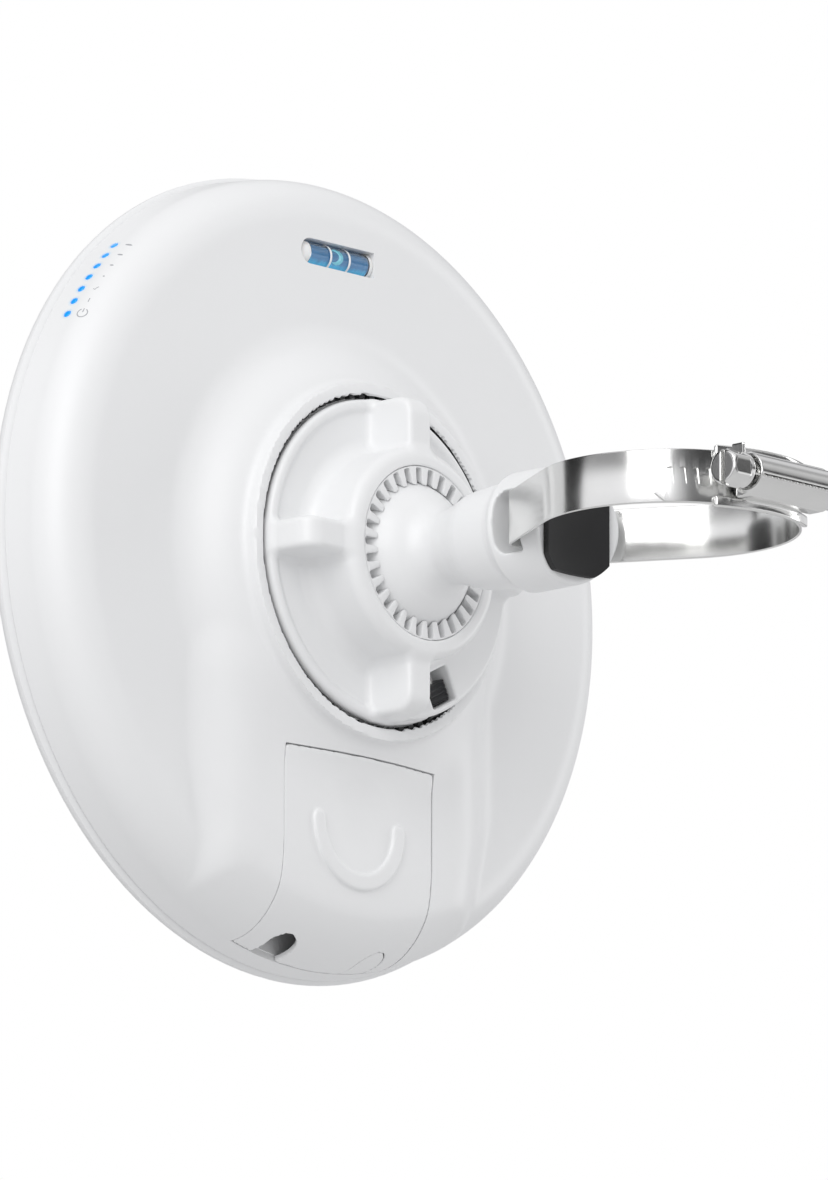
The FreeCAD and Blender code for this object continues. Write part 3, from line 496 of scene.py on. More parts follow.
def plastic(name, colour_value, gloss=0.42, grain=0.0005, depth=0.000006, spread=0.02, subsurface=0.0):
    """Moulded plastic or rubber: pebbled grain, slow drift in gloss and tone."""
    material, tree, shader = new_material(name)
    effect = add(tree, "ShaderNodeGroup", node_tree=shared_group(moulded_grain))
    effect.inputs["Size"].default_value = grain
    effect.inputs["Gloss"].default_value = gloss
    effect.inputs["Drift"].default_value = 0.12
    tree.links.new(tinted(tree, effect.outputs["Tone"], colour_value, spread), shader.inputs["Base Color"])
    tree.links.new(effect.outputs["Roughness"], shader.inputs["Roughness"])
    tree.links.new(bumped(tree, effect.outputs["Height"], depth), shader.inputs["Normal"])
    shader.inputs["Subsurface Weight"].default_value = subsurface
    shader.inputs["Subsurface Radius"].default_value = (0.002, 0.0017, 0.0014)
    return material


def metal(name, colour_value, gloss=0.2, stretch=(1.0, 1.0, 12.0), depth=0.000002, spread=0.05, drift=0.12):
    """Drawn or rolled metal."""
    material, tree, shader = new_material(name)
    effect = add(tree, "ShaderNodeGroup", node_tree=shared_group(drawn_metal))
    effect.inputs["Stretch"].default_value = stretch
    effect.inputs["Gloss"].default_value = gloss
    effect.inputs["Drift"].default_value = drift
    tree.links.new(tinted(tree, effect.outputs["Tone"], colour_value, spread), shader.inputs["Base Color"])
    tree.links.new(effect.outputs["Roughness"], shader.inputs["Roughness"])
    tree.links.new(bumped(tree, effect.outputs["Height"], depth), shader.inputs["Normal"])
    shader.inputs["Metallic"].default_value = 1.0
    return material


def housing_white(finishes, lights):
    """White plastic, with painted pale blue light close round each status light, where the lights would light
    the shell.
    """
    material = plastic("shell_white", finishes.white, gloss=0.4, grain=0.0006, depth=0.000004, spread=0.008)
    tree = material.node_tree
    shader = tree.nodes["Principled BSDF"]
    base = shader.inputs["Base Color"].links[0].from_socket
    place = add(tree, "ShaderNodeSeparateXYZ", {0: add(tree, "ShaderNodeTexCoord").outputs["Object"]}).outputs
    step = (lights.last - lights.first) / max(lights.count - 1, 1)
    turn = math_node(tree, "ARCTAN2", place["Z"], place["X"])
    index = math_node(tree, "DIVIDE", math_node(tree, "SUBTRACT", turn, lights.first), step)
    nearest = math_node(tree, "MAXIMUM", math_node(tree, "ROUND", index), 0.0)
    nearest = math_node(tree, "MINIMUM", nearest, lights.count - 1)
    along = math_node(tree, "MULTIPLY", math_node(tree, "SUBTRACT", index, nearest), step * HOUSING[1].x)
    across = math_node(tree, "SUBTRACT", place["Y"], PARTING_Y + lights.height * MM)
    near = add(tree, "ShaderNodeCombineXYZ", {"X": along, "Y": across})
    distance = add(tree, "ShaderNodeVectorMath", {0: near.outputs[0]}, operation="LENGTH").outputs["Value"]
    # Painted light: a pale blue ring mixed into the base colour round each status light, for the light that
    # the lights cast on the shell.
    painted_light_ring = add(tree, "ShaderNodeMapRange", {"Value": distance, "From Min": lights.radius * MM,
                                           "From Max": lights.radius * MM * 2.0,
                                            "To Min": 0.4, "To Max": 0.0},
               interpolation_type="SMOOTHSTEP")
    painted_ring_blue = (0.42, 0.72, 0.95, 1.0)
    tree.links.new(blend(tree, painted_light_ring.outputs[0], base, painted_ring_blue), shader.inputs["Base Color"])
    return material


def glowing(name, colour_value, strength, pool=0.0):
    """Glowing finish, brighter in patches: a lit lens's own light, and on the vial's bubble, which is no lamp,
    a painted glow.
    """
    material, tree, shader = new_material(name)
    effect = add(tree, "ShaderNodeGroup", node_tree=shared_group(moulded_grain))
    effect.inputs["Size"].default_value = 0.0009
    effect.inputs["Gloss"].default_value = 0.15
    colours = tinted(tree, effect.outputs["Height"], colour_value, 0.08 + pool)
    tree.links.new(colours, shader.inputs["Base Color"])
    tree.links.new(colours, shader.inputs["Emission Color"])
    tree.links.new(effect.outputs["Roughness"], shader.inputs["Roughness"])
    shader.inputs["Emission Strength"].default_value = strength
    shader.inputs["Coat Weight"].default_value = 0.5
    return material


def clear_plastic(name):
    material, tree, shader = new_material(name)
    effect = add(tree, "ShaderNodeGroup", node_tree=shared_group(moulded_grain))
    effect.inputs["Size"].default_value = 0.004
    effect.inputs["Gloss"].default_value = 0.03
    effect.inputs["Drift"].default_value = 0.04
    tree.links.new(effect.outputs["Roughness"], shader.inputs["Roughness"])
    shader.inputs["Base Color"].default_value = (0.93, 0.97, 1.0, 1.0)
    shader.inputs["Transmission Weight"].default_value = 1.0
    shader.inputs["IOR"].default_value = 1.2
    return material


def vial_fluid_material(name, colour_value):
    """Blue fluid with uneven streaks, with painted light along its lower side, painted shade towards the top
    and a painted glow.
    """
    material, tree, shader = new_material(name)
    place = add(tree, "ShaderNodeTexCoord").outputs["Object"]
    stretched = add(tree, "ShaderNodeMapping", {"Vector": place, "Scale": (2.4, 0.5, 0.5)})
    pools = add(tree, "ShaderNodeTexNoise", {"Vector": stretched.outputs[0], "Scale": 420.0, "Detail": 2.0})
    upward = add(tree, "ShaderNodeSeparateXYZ", {0: place}).outputs["Z"]
    span = VIAL[1].z - VIAL[0].z
    height = math_node(tree, "MULTIPLY_ADD", upward, 1 / span, -VIAL[0].z / span)
    wave = math_node(tree, "MULTIPLY_ADD", pools.outputs["Fac"], 0.3, -0.15)
    ramp = add(tree, "ShaderNodeValToRGB", {"Fac": math_node(tree, "ADD", height, wave)})
    stops = ramp.color_ramp.elements
    # Painted light and shade: pale cyan along the lower side, the fluid's colour above it, darker towards the
    # top.
    stops[0].position, stops[0].color = 0.12, (0.10, 0.52, 0.80, 1.0)
    stops[1].position, stops[1].color = 0.3, tuple(colour_value) + (1.0,)
    last = stops.new(1.0)
    last.color = tuple(level * 0.6 for level in colour_value) + (1.0,)
    tree.links.new(ramp.outputs["Color"], shader.inputs["Base Color"])
    # Painted glow: the fluid is no lamp, yet it emits its own colours.
    tree.links.new(ramp.outputs["Color"], shader.inputs["Emission Color"])
    shader.inputs["Emission Strength"].default_value = 0.35
    shader.inputs["Roughness"].default_value = 0.12
    shader.inputs["Coat Weight"].default_value = 0.6
    return material


def circuit_green(name):
    """Solder mask over copper: traces as a fine grid, broken up, with plated holes."""
    material, tree, shader = new_material(name)
    place = add(tree, "ShaderNodeTexCoord").outputs["Object"]
    cells = add(tree, "ShaderNodeTexVoronoi", {"Vector": place, "Scale": 420.0}, distance="CHEBYCHEV")
    holes = add(tree, "ShaderNodeTexVoronoi", {"Vector": place, "Scale": 260.0})
    traces = math_node(tree, "GREATER_THAN", cells.outputs["Distance"], 0.33)
    plated = math_node(tree, "LESS_THAN", holes.outputs["Distance"], 0.11)
    mask, trace, gold = (0.012, 0.085, 0.038, 1.0), (0.02, 0.15, 0.06, 1.0), (0.75, 0.58, 0.28, 1.0)
    green = blend(tree, traces, mask, trace)
    tree.links.new(blend(tree, plated, green, gold), shader.inputs["Base Color"])
    tree.links.new(plated, shader.inputs["Metallic"])
    tree.links.new(bumped(tree, traces, 0.00003), shader.inputs["Normal"])
    shader.inputs["Roughness"].default_value = 0.32
    shader.inputs["Coat Weight"].default_value = 0.4
    return material


def make_finishes(scene):
    finishes = scene.bridge_finishes
    white = tuple(finishes.white)
    dark = tuple(finishes.dark)
    steel = tuple(finishes.steel)
    return {
        "white_shell": housing_white(finishes, in_mm(scene.bridge_lights)),
        "white_mount": plastic("mount_white", white, gloss=0.36, grain=0.0007, depth=0.000006, spread=0.01),
        "white_collet": plastic("collet_white", tuple(c * 0.97 for c in white), gloss=0.4, depth=0.000005),
        "white_cap": plastic("cap_white", (0.9, 0.9, 0.9), gloss=0.22, depth=0.000002, spread=0.01,
                             subsurface=0.2),
        "dark_plastic": plastic("dark_plastic", dark, gloss=0.38, depth=0.00001, spread=0.2),
        "printed_ink": plastic("printed_ink", tuple(finishes.ink), gloss=0.5, depth=0.000001, spread=0.06),
        "light_blue": glowing("light_blue", tuple(finishes.blue), 0.3),
        # The bubble's lighter cyan and its glow are a painted highlight; it is no lamp.
        "bubble": glowing("bubble_painted_highlight", (0.26, 0.66, 0.88), 0.3, pool=0.3),
        "vial_clear": clear_plastic("vial_clear"),
        "vial_blue": vial_fluid_material("vial_blue", tuple(finishes.fluid)),
        "black_rubber": plastic("black_rubber", (0.018, 0.018, 0.019), gloss=0.7, grain=0.0003, depth=0.00002,
                                spread=0.25),
        "grey_rubber": plastic("grey_rubber", (0.28, 0.29, 0.31), gloss=0.65, depth=0.00002, spread=0.1),
        "circuit_green": circuit_green("circuit_green"),
        "tin_plate": metal("tin_plate", (0.72, 0.73, 0.74), gloss=0.26, stretch=(6, 1, 1), depth=0.000004),
        "aluminium": metal("aluminium", (0.83, 0.84, 0.86), gloss=0.34, stretch=(1, 1, 8), depth=0.000006),
        "gold_plate": metal("gold_plate", (0.92, 0.68, 0.28), gloss=0.2),
        "stainless": metal("stainless", steel, gloss=0.17, stretch=(1, 1, 14), depth=0.0000012, drift=0.1),
        "zinc_steel": metal("zinc_steel", (0.66, 0.68, 0.7), gloss=0.3, stretch=(1, 1, 1), depth=0.000004),
        "friction_pad": plastic("friction_pad", (0.32, 0.26, 0.2), gloss=0.75, grain=0.0004, depth=0.00003,
                                spread=0.25),
        "feed_plastic": plastic("feed_plastic", (0.8, 0.79, 0.74), gloss=0.5, spread=0.03, subsurface=0.1),
    }


def finish_of(slot_name):
    return bpy.data.materials[FINISH_PREFIX + slot_name]


def dress(piece, slot_name, body, nodes):
    """Give a piece its finish and its place in the assembly."""
    piece.data.materials.clear()
    piece.data.materials.append(finish_of(slot_name))
    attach(piece, body)
    if nodes:
        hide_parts(*nodes)
    return piece


# ------------------------------------------------------------------ dish fields

def housing_skin(size):
    """Field of the rear housing's outer skin in dish coordinates, open below."""
    def skin(x, y, z):
        radius = np.hypot(x, z)
        rim_height = size.back - size.rim_round
        side = size.radius - size.draft * np.clip(y / rim_height, 0, 1)
        disc = meet(radius - side, y - size.back, size.rim_round)
        boss = meet(radius - size.boss_radius, y - size.boss_height, size.boss_round)
        shape = join(disc, boss, size.boss_foot)
        raised = meet(np.abs(x) - size.channel_half, y - size.channel_height, size.channel_round)
        ends = meet(radius - side, y - size.channel_height, size.channel_end)
        raised = meet(meet(raised, ends, 2.0), z + 18.0, 14.0)
        foot = size.channel_foot * np.clip((size.radius - radius) / 22.0, 0.03, 1)
        return join(shape, raised, foot)
    return skin


def layer_field(skin, depth, height):
    """Field of a layer that follows the skin, from a depth under it to a height over it."""
    return lambda x, y, z: between(skin(x, y, z), -depth, height)


# Corners of the hollows in the housing, in dish coordinates, and the places of its small bores.
POCKET_REACH, POCKET_OPEN, POCKET_SPARE = ((-29, 1, -100), (29, 29, -42)), 4.0, 0.3
PORT_BAY = ((-23.6, 6.4, -104), (23.6, 40, -50))
JACK_BAY = ((-8.3, 8.8, -58), (8.3, 21.25, -40))
BUTTON_X, BUTTON_Y, BUTTON_BORE, BUTTON_SPAN = -15.5, 12.5, 2.1, (-62, -40)
VENT_X, VENT_Z, VENT_BORE, VENT_SPAN = -60, 20, 1.0, (16.0, 30)
LIGHT_HOLE_SPAN = (85, 100)
BEYOND = 120


def vial_axis():
    """Height of the vial's axis above the joint line, and its Z place."""
    return (VIAL[0].y + VIAL[1].y) / 2 / MM - PARTING_Y / MM, (VIAL[0].z + VIAL[1].z) / 2 / MM


def cable_notch(x, y, place, height, radius):
    return np.hypot(x - place, np.maximum(y - height, 0)) - radius


def bay_block(skin, x, y, z):
    """Walls round the port bay, just under the skin."""
    half_width, floor, top, rim_end, boss_end, under_skin = 29.1, 4.6, 30.0, -110.0, -44.5, 0.6
    walls = meet(meet(np.abs(x) - half_width, between(y, floor, top)), between(z, rim_end, boss_end))
    return meet(walls, skin(x, y, z) + under_skin)


def housing_field(size, skin):
    """Shell, vial tray, bay walls and the lip round the lock nut in one moulding."""
    tray_y, tray_z = vial_axis()
    tray_half, tray_side, tray_depth, under_back = 15.9, 5.4, 5.2, 0.6
    lip_root, lip_round, lip_foot = 2.0, 0.7, 1.6
    groove_width, lip_roof = 1.4, 1.1

    def field(x, y, z):
        level = skin(x, y, z)
        shell = cut(level, level + size.wall, 0.2)
        tray = meet(np.abs(x) - tray_half, np.abs(z - tray_z) - tray_side, 1.0)
        tray = meet(tray, between(y, tray_y - tray_depth, size.back - under_back))
        shell = join(join(shell, tray, 0.6), bay_block(skin, x, y, z))
        radius = np.hypot(x, z)
        top = size.boss_height + size.lip_height
        lip = meet(between(radius, size.lip_inner, size.lip_outer),
                   between(y, size.boss_height - lip_root, top), lip_round)
        groove = meet(radius - (size.lip_inner + groove_width), between(y, size.boss_height, top - lip_roof))
        return cut(join(shell, lip, lip_foot), groove, 0.1)
    return field


def light_places(lights):
    step = (lights.last - lights.first) / max(lights.count - 1, 1)
    return [lights.first + step * index for index in range(lights.count)]


def radial_rod(radius, first, last, turn, height, steps=24):
    """Cutter along a radius of the dish, in millimetres from its axis."""
    profile = [(0, first), (radius, first), (radius, last), (0, last)]
    return lathe("cutter", profile, steps, Vector((0, PARTING_Y + height * MM, 0)), (cos(turn), 0, sin(turn)))


def straight_rod(radius, x, z, first, last, steps=48):
    """Cutter along Y at a place on the dish, in dish coordinates."""
    profile = [(0, first), (radius, first), (radius, last), (0, last)]
    return lathe("cutter", profile, steps, Vector((x * MM, PARTING_Y, z * MM)), (0, 1, 0))


def vial_cutters(size, vial, offset):
    """Close-fitting recess for the vial, and its round end for the domed cap."""
    vial_y, vial_z = vial_axis()
    end = VIAL_CAPS[1].x / MM - vial.radius
    close, under = vial.radius + 0.12, 3.3
    recess = block((-VIAL[1].x / MM - vial.far_cap, vial_y - under, vial_z - close),
                   (end, size.back + 5, vial_z + close), offset)
    # The round end stays just inside the recess, so that no two faces lie on each other.
    return recess, straight_rod(close - 0.02, end, vial_z, vial_y - under + 0.05, size.back + 4)


class BRIDGE_OT_rear_housing(Operator):
    """Make the rear housing: shell, boss, channel, vial recess, port bay and light holes"""
    bl_idname = "bridge.rear_housing"
    bl_label = "Rear Housing"

    def execute(self, context):
        scene = context.scene
        size, cover = in_mm(scene.bridge_housing), in_mm(scene.bridge_cover)
        lights = in_mm(scene.bridge_lights)
        skin = housing_skin(size)
        reach = size.radius
        offset = PARTING_Y / MM
        low, high = (-reach, -3, -reach), (reach, size.boss_height + size.lip_height, reach)
        housing = moulded("rear_housing_shell", housing_field(size, skin), low, high, 0.86, offset)

        layer = layer_field(skin, cover.wall + POCKET_SPARE, POCKET_OPEN)
        pocket = moulded("pocket", layer, *POCKET_REACH, 0.8, offset)
        half = cover.half_width + cover.gap
        opening = block((-half, cover.bottom - cover.gap, -BEYOND),
                        (half, 60, -cover.drop + cover.gap), offset)
        carve(pocket, opening, "INTERSECT")
        recess, dome = vial_cutters(size, in_mm(scene.bridge_vial), offset)
        vent = straight_rod(VENT_BORE, VENT_X, VENT_Z, *VENT_SPAN)
        below = block((-BEYOND, -20, -BEYOND), (BEYOND, 0, BEYOND), offset)
        cup_way = straight_rod(size.boss_bore, 0, 0, 10, 60, 160)
        cutters = [pocket, recess, vent, below, cup_way]
        cutters += [radial_rod(lights.radius + 0.05, *LIGHT_HOLE_SPAN, turn, lights.height)
                    for turn in light_places(lights)]
        carve(housing, merged("cutter", cutters))
        carve(housing, block(*PORT_BAY, offset))
        carve(housing, dome)
        first, last = BUTTON_SPAN
        profile = [(0, first), (BUTTON_BORE, first), (BUTTON_BORE, last), (0, last)]
        place = Vector((BUTTON_X * MM, PARTING_Y + BUTTON_Y * MM, 0))
        button_way = lathe("cutter", profile, 32, place, (0, 0, 1))
        carve(housing, merged("cutter", [block(*JACK_BAY, offset), button_way]))
        dress(housing, "white_shell", "dish", ["rear_housing"])
        return {"FINISHED"}


def cover_field(size, skin):
    """Cover with its thumb dimple, crescent ridge and two cable notches."""
    sag = (size.dimple_radius ** 2 + size.dimple_depth ** 2) / (2 * size.dimple_depth)

    def field(x, y, z):
        level = skin(x, y, z)
        down = z + size.grip_drop
        plate = meet(level, -(level + size.wall), 0.2)
        spot = np.hypot(x, down)
        bowl = np.hypot(spot, level - (sag - size.dimple_depth)) - sag
        plate = cut(plate, bowl, 0.7)
        arc = np.where(down < 0, np.abs(spot - size.ridge_radius),
                       np.hypot(np.abs(x) - size.ridge_radius, down))
        ridge = meet(arc - size.ridge_half, between(level, -1.0, size.ridge_height), 0.9)
        plate = join(plate, ridge, 0.5)
        sides = meet(np.abs(x) - size.half_width, z + size.drop, 1.1)
        plate = meet(plate, meet(sides, size.bottom - y, 0.4), 0.28)
        for side, slack in ((1, 0.0), (-1, 0.15)):
            hole = cable_notch(x, y, side * size.notch_place, size.notch_height, size.notch_radius + slack)
            plate = cut(plate, hole, 0.25)
        return plate
    return field


class BRIDGE_OT_port_cover(Operator):
    """Make the port cover and the plug in its spare cable notch"""
    bl_idname = "bridge.port_cover"
    bl_label = "Port Cover"

    def execute(self, context):
        scene = context.scene
        size, cover = in_mm(scene.bridge_housing), in_mm(scene.bridge_cover)
        skin = housing_skin(size)
        offset = PARTING_Y / MM
        low, high = (-cover.half_width, cover.bottom, -size.radius - 1), (cover.half_width, 26, -cover.drop)
        plate = moulded("port_cover_plate", cover_field(cover, skin), low, high, 0.4, offset)

        def plug(x, y, z):
            hole = cable_notch(x, y, -cover.notch_place, cover.notch_height, cover.notch_radius - 0.12)
            body = meet(between(skin(x, y, z), -1.9, -0.1), hole, 0.3)
            return meet(body, cover.bottom - y, 0.2)

        knockout = moulded("cable_knockout_plug", plug, (-20, cover.bottom, -97), (-10, 17, -82),
                           0.25, offset)
        dress(plate, "white_shell", "cover", ["port_cover"])
        dress(knockout, "white_shell", "cover", ["cable_knockout"])
        return {"FINISHED"}


# ------------------------------------------------------------------ vial and lights

def capped(half, radius, rounding, steps=8):
    """Lathe outline of a plug with both ends rounded, from its low end to its high end."""
    low = arc_points((radius - rounding, -half + rounding), rounding, -90, 0, steps)
    high = arc_points((radius - rounding, half - rounding), rounding, 0, 90, steps)
    return [(0, -half)] + low + high + [(0, half)]


def ellipsoid(name, centre, halves, steps=32):
    """Smooth drop shape, made as a lathe and stretched to its half sizes in millimetres."""
    profile = [(max(cos(turn), 0), sin(turn)) for turn in np.linspace(-pi / 2, pi / 2, steps)]
    profile[0], profile[-1] = (0, -1), (0, 1)
    drop = lathe(name, profile, steps * 2, (0, 0, 0), (0, 0, 1), 180.0)
    stretch = Matrix.Diagonal((*halves, 1.0))
    drop.data.transform(Matrix.Translation(centre) @ stretch)
    return drop


class BRIDGE_OT_level_vial(Operator):
    """Make the level vial: tube, fluid, bubble, marks and end caps"""
    bl_idname = "bridge.level_vial"
    bl_label = "Level Vial"

    def execute(self, context):
        size = in_mm(context.scene.bridge_vial)
        middle = (VIAL[0] + VIAL[1]) / 2
        half = VIAL[1].x / MM
        along = (1, 0, 0)
        tube_wall, fluid_slack = 0.45, 0.03
        bore = size.radius - tube_wall
        wall = [(bore, -half), (size.radius, -half), (size.radius, half), (bore, half)]
        tube = lathe("level_vial_tube", wall, 72, middle, along)
        fluid = lathe("level_vial_fluid", capped(half - 0.05, bore - fluid_slack, 0.3), 72, middle, along)
        mark_half, mark_proud = 0.35, size.radius + 0.1
        ring = [(size.radius, -0.32), (mark_proud, -0.24), (mark_proud, 0.24), (size.radius, 0.32)]
        mark_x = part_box("vial_mark_rings")[1].x / MM - mark_half
        rings = []
        for side in (-1, 1):
            place = middle + Vector((side * mark_x * MM, 0, 0))
            rings.append(lathe("mark", ring, 72, place, along))
        caps = []
        for side, cap, rounding in ((1, VIAL_CAPS[1].x / MM - half, 2.9), (-1, size.far_cap - 0.1, 0.3)):
            place = middle + Vector((side * half * MM, 0, 0))
            profile = [(0, 0), (size.radius - 0.1, 0), (size.radius, 0.1)]
            profile += arc_points((size.radius - rounding, cap - rounding), rounding, 0, 90, 12)
            caps.append(lathe("cap", profile + [(0, cap)], 72, place, (side, 0, 0)))
        # The bubble carries a painted highlight; a smaller core in the fluid's finish fills its middle, so
        # that the painted highlight shows as a bright ring.
        place = middle + Vector((size.bubble_place, 0.9, 0.1)) * MM
        bubble = ellipsoid("level_vial_bubble", place, (size.bubble_half, 2.0, 2.0))
        place = middle + Vector((size.bubble_place + 0.6, 1.4, 0.1)) * MM
        core = ellipsoid("level_vial_bubble_core", place, (2.5, 1.6, 1.6))
        dress(tube, "vial_clear", "dish", ["vial_tube"])
        dress(fluid, "vial_blue", "dish", ["vial_fluid"])
        dress(merged("level_vial_marks", rings), "white_cap", "dish", ["vial_mark_rings"])
        dress(merged("level_vial_caps", caps), "white_cap", "dish", ["vial_end_caps"])
        dress(bubble, "bubble", "dish", [])
        dress(core, "vial_blue", "dish", [])
        return {"FINISHED"}


def on_rim(size, turn, along, up, height):
    """Point on the housing's rounded rim: along it, up it from its side, and proud of it."""
    around = turn + along / size.radius
    lift = up / size.rim_round
    radius = size.radius - size.draft - size.rim_round + (size.rim_round + height) * cos(lift)
    y = size.back - size.rim_round + (size.rim_round + height) * sin(lift)
    return (radius * cos(around) * MM, PARTING_Y + y * MM, radius * sin(around) * MM)


def stroke(points, width):
    """Outline of a line drawn through the points."""
    left, right = [], []
    for index, (u, v) in enumerate(points):
        before, after = points[max(index - 1, 0)], points[min(index + 1, len(points) - 1)]
        du, dv = after[0] - before[0], after[1] - before[1]
        size = hypot(du, dv) * 2 / width
        left.append((u - dv / size, v + du / size))
        right.append((u + dv / size, v - du / size))
    return left + right[::-1]


def oval(width, height, steps=20):
    turns = [2 * pi * step / steps for step in range(steps)]
    return [(width * cos(turn), height * sin(turn)) for turn in turns]


def symbols():
    """Outlines of the plain symbols printed beside the lights, from the lowest light up."""
    power = [stroke(arc_points((0, 0), 1.3, -240, 60, 28), 0.26), stroke([(0, 0.2), (0, 1.35)], 0.26)]
    bar = [stroke([(0, -0.6), (0, 0.6)], 0.24)]
    tick = [stroke([(-0.6, -0.3), (-0.1, -0.6), (0.2, 0.1), (0.6, 0.4)], 0.22)]
    return [power, bar, tick] + [[oval(0.3 + 0.22 * grade, 0.2 + 0.03 * grade)] for grade in range(4)]


class BRIDGE_OT_status_lights(Operator):
    """Make the row of status lights and the symbols printed beside them"""
    bl_idname = "bridge.status_lights"
    bl_label = "Status Lights"

    def execute(self, context):
        size, lights = in_mm(context.scene.bridge_housing), in_mm(context.scene.bridge_lights)
        proud, root = 0.12, 91.6
        face = size.radius - size.draft * lights.height / (size.back - size.rim_round) + proud
        half = (face - root) / 2
        print_up, print_heights = 3.5, (0.02, -0.1)
        lenses, prints = [], []
        for turn, marks in zip(light_places(lights), symbols()):
            place = Vector((cos(turn) * (root + half) * MM, PARTING_Y + lights.height * MM,
                            sin(turn) * (root + half) * MM))
            lenses.append(lathe("lens", capped(half, lights.radius, 0.35), 32, place,
                                (cos(turn), 0, sin(turn))))
            for outline in marks:
                count = len(outline)
                points = [on_rim(size, turn, v, print_up + u, height)
                          for height in print_heights for u, v in outline]
                faces = [list(range(count)), list(range(2 * count - 1, count - 1, -1))]
                faces += [(k, k + count, (k + 1) % count + count, (k + 1) % count) for k in range(count)]
                mesh = bpy.data.meshes.new("print")
                mesh.from_pydata(points, [], faces)
                prints.append(bpy.data.objects.new("print", mesh))
        dress(merged("status_light_lenses", lenses), "light_blue", "dish", ["status_lights"])
        dress(merged("status_symbols", prints), "printed_ink", "dish", [])
        return {"FINISHED"}


# ------------------------------------------------------------------ lock nut and ball

def nut_field(size):
    """Collar with a flange, four lugs, a raised quarter and a window for the release tab."""
    base, top = 28.6, (NUT[1].y - PARTING_Y) / MM
    flange_top, rim_top, quarter_top, lug_top, collet_step = 30.3, 31.2, 36.0, 43.6, 40.7
    rim_width, lug_root, outer = 2.2, 18.0, size.flange_radius - 0.3
    window_span, window_half, window_floor = (28.0, 36.4), 4.4, 30.2
    slit_span, slit_half, slit_top = (30.0, 41.0), 1.9, 31.6

    def field(x, y, z):
        radius = np.hypot(x, z)
        flange = meet(radius - size.flange_radius, between(y, base, flange_top), 0.5)
        rim = between(radius, size.flange_radius - rim_width, size.flange_radius)
        rim = meet(rim, between(y, base, rim_top), 0.8)
        body = join(flange, rim, 1.2)
        hub = meet(radius - size.hub_radius, between(y, base, top), size.hub_round)
        body = join(body, hub, size.hub_foot)
        quarter = meet(radius - outer, between(y, base, quarter_top), 1.4)
        quarter = meet(quarter, meet(x, z, 1.0), 1.2)
        body = join(body, quarter, 1.5)
        for index in range(4):
            u, t = turned_to(x, z, index * pi / 2)
            side = meet(u - outer, y - lug_top, size.lug_round)
            side = meet(side, meet(lug_root - u, base - y))
            body = join(body, meet(side, np.abs(t) - size.lug_half, 1.5), 2.0)
        u, t = turned_to(x, z, size.tab_angle)
        window = meet(meet(between(u, *window_span), np.abs(t) - window_half, 0.6), window_floor - y)
        slit = meet(meet(between(u, *slit_span), np.abs(t) - slit_half, 0.4), y - slit_top)
        body = cut(cut(body, window, 0.5), slit, 0.3)
        bore = np.where(y < collet_step, size.cup_bore - radius, size.collet_bore - radius)
        return meet(body, bore, 0.5)
    return field


def collet_field(size):
    """Split ring: a lip round the ball with slots between its fingers."""
    top = (COLLET[1].y - PARTING_Y) / MM
    low = (COLLET[0].y - PARTING_Y) / MM
    centre_y = (BALL_Y - PARTING_Y) / MM
    inner, outer = 19.65, size.collet_bore - 0.1
    step, slot_half, slot_floor, slot_reach = 40.6, 1.0, 40.4, 20.3

    def field(x, y, z):
        radius = np.hypot(x, z)
        wide = np.where(y < step, size.cup_bore - 0.2, outer)
        body = meet(radius - wide, between(y, low, top), 0.35)
        body = meet(body, inner - np.hypot(radius, y - centre_y), 0.3)
        pitch = 2 * pi / size.slot_count
        turn = np.arctan2(z, x)
        near = (turn - np.round(turn / pitch) * pitch) * radius
        slot = meet(np.abs(near) - slot_half, np.maximum(slot_floor - y, radius - slot_reach), 0.5)
        return cut(body, slot, 0.25)
    return field


def tab_field(size):
    """Thumb pad with finger ribs and a nose towards the detent ring."""
    pad_span, pad_half, pad_heights = (31.0, 36.1), 3.9, (30.4, 34.4)
    rib_depth, rib_pitch, rib_middle, rib_floor = 0.22, 1.3, 34.15, 33.0
    nose_span, nose_half, nose_heights = (31.6, 38.9), 1.6, (28.8, 31.4)

    def field(x, y, z):
        u, t = turned_to(x, z, size.tab_angle)
        pad = meet(meet(between(u, *pad_span), np.abs(t) - pad_half, 0.5), between(y, *pad_heights), 0.5)
        ribs = rib_depth * np.cos(u * 2 * pi / rib_pitch)
        pad = np.where(y > rib_floor, np.maximum(pad, y - rib_middle - ribs), pad)
        nose = meet(meet(between(u, *nose_span), np.abs(t) - nose_half, 0.3), between(y, *nose_heights), 0.3)
        return join(pad, nose, 0.2)
    return field


class BRIDGE_OT_lock_nut(Operator):
    """Make the lock nut, the slotted collet in it and its release tab"""
    bl_idname = "bridge.lock_nut"
    bl_label = "Lock Nut"

    def execute(self, context):
        size = in_mm(context.scene.bridge_nut)
        offset = PARTING_Y / MM
        for name, node, field, cell, finish, body in (
                ("lock_nut_collar", "lock_nut", nut_field(size), 0.42, "white_mount", "nut"),
                ("collet_fingers", "collet_ring", collet_field(size), 0.3, "white_collet", "nut"),
                ("release_tab_pad", "release_tab", tab_field(size), 0.2, "dark_plastic", "tab")):
            low, high = (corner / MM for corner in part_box(node))
            piece = moulded(name, field, (low.x, low.y - offset, low.z), (high.x, high.y - offset, high.z),
                            cell, offset)
            dress(piece, finish, body, [node])
        return {"FINISHED"}


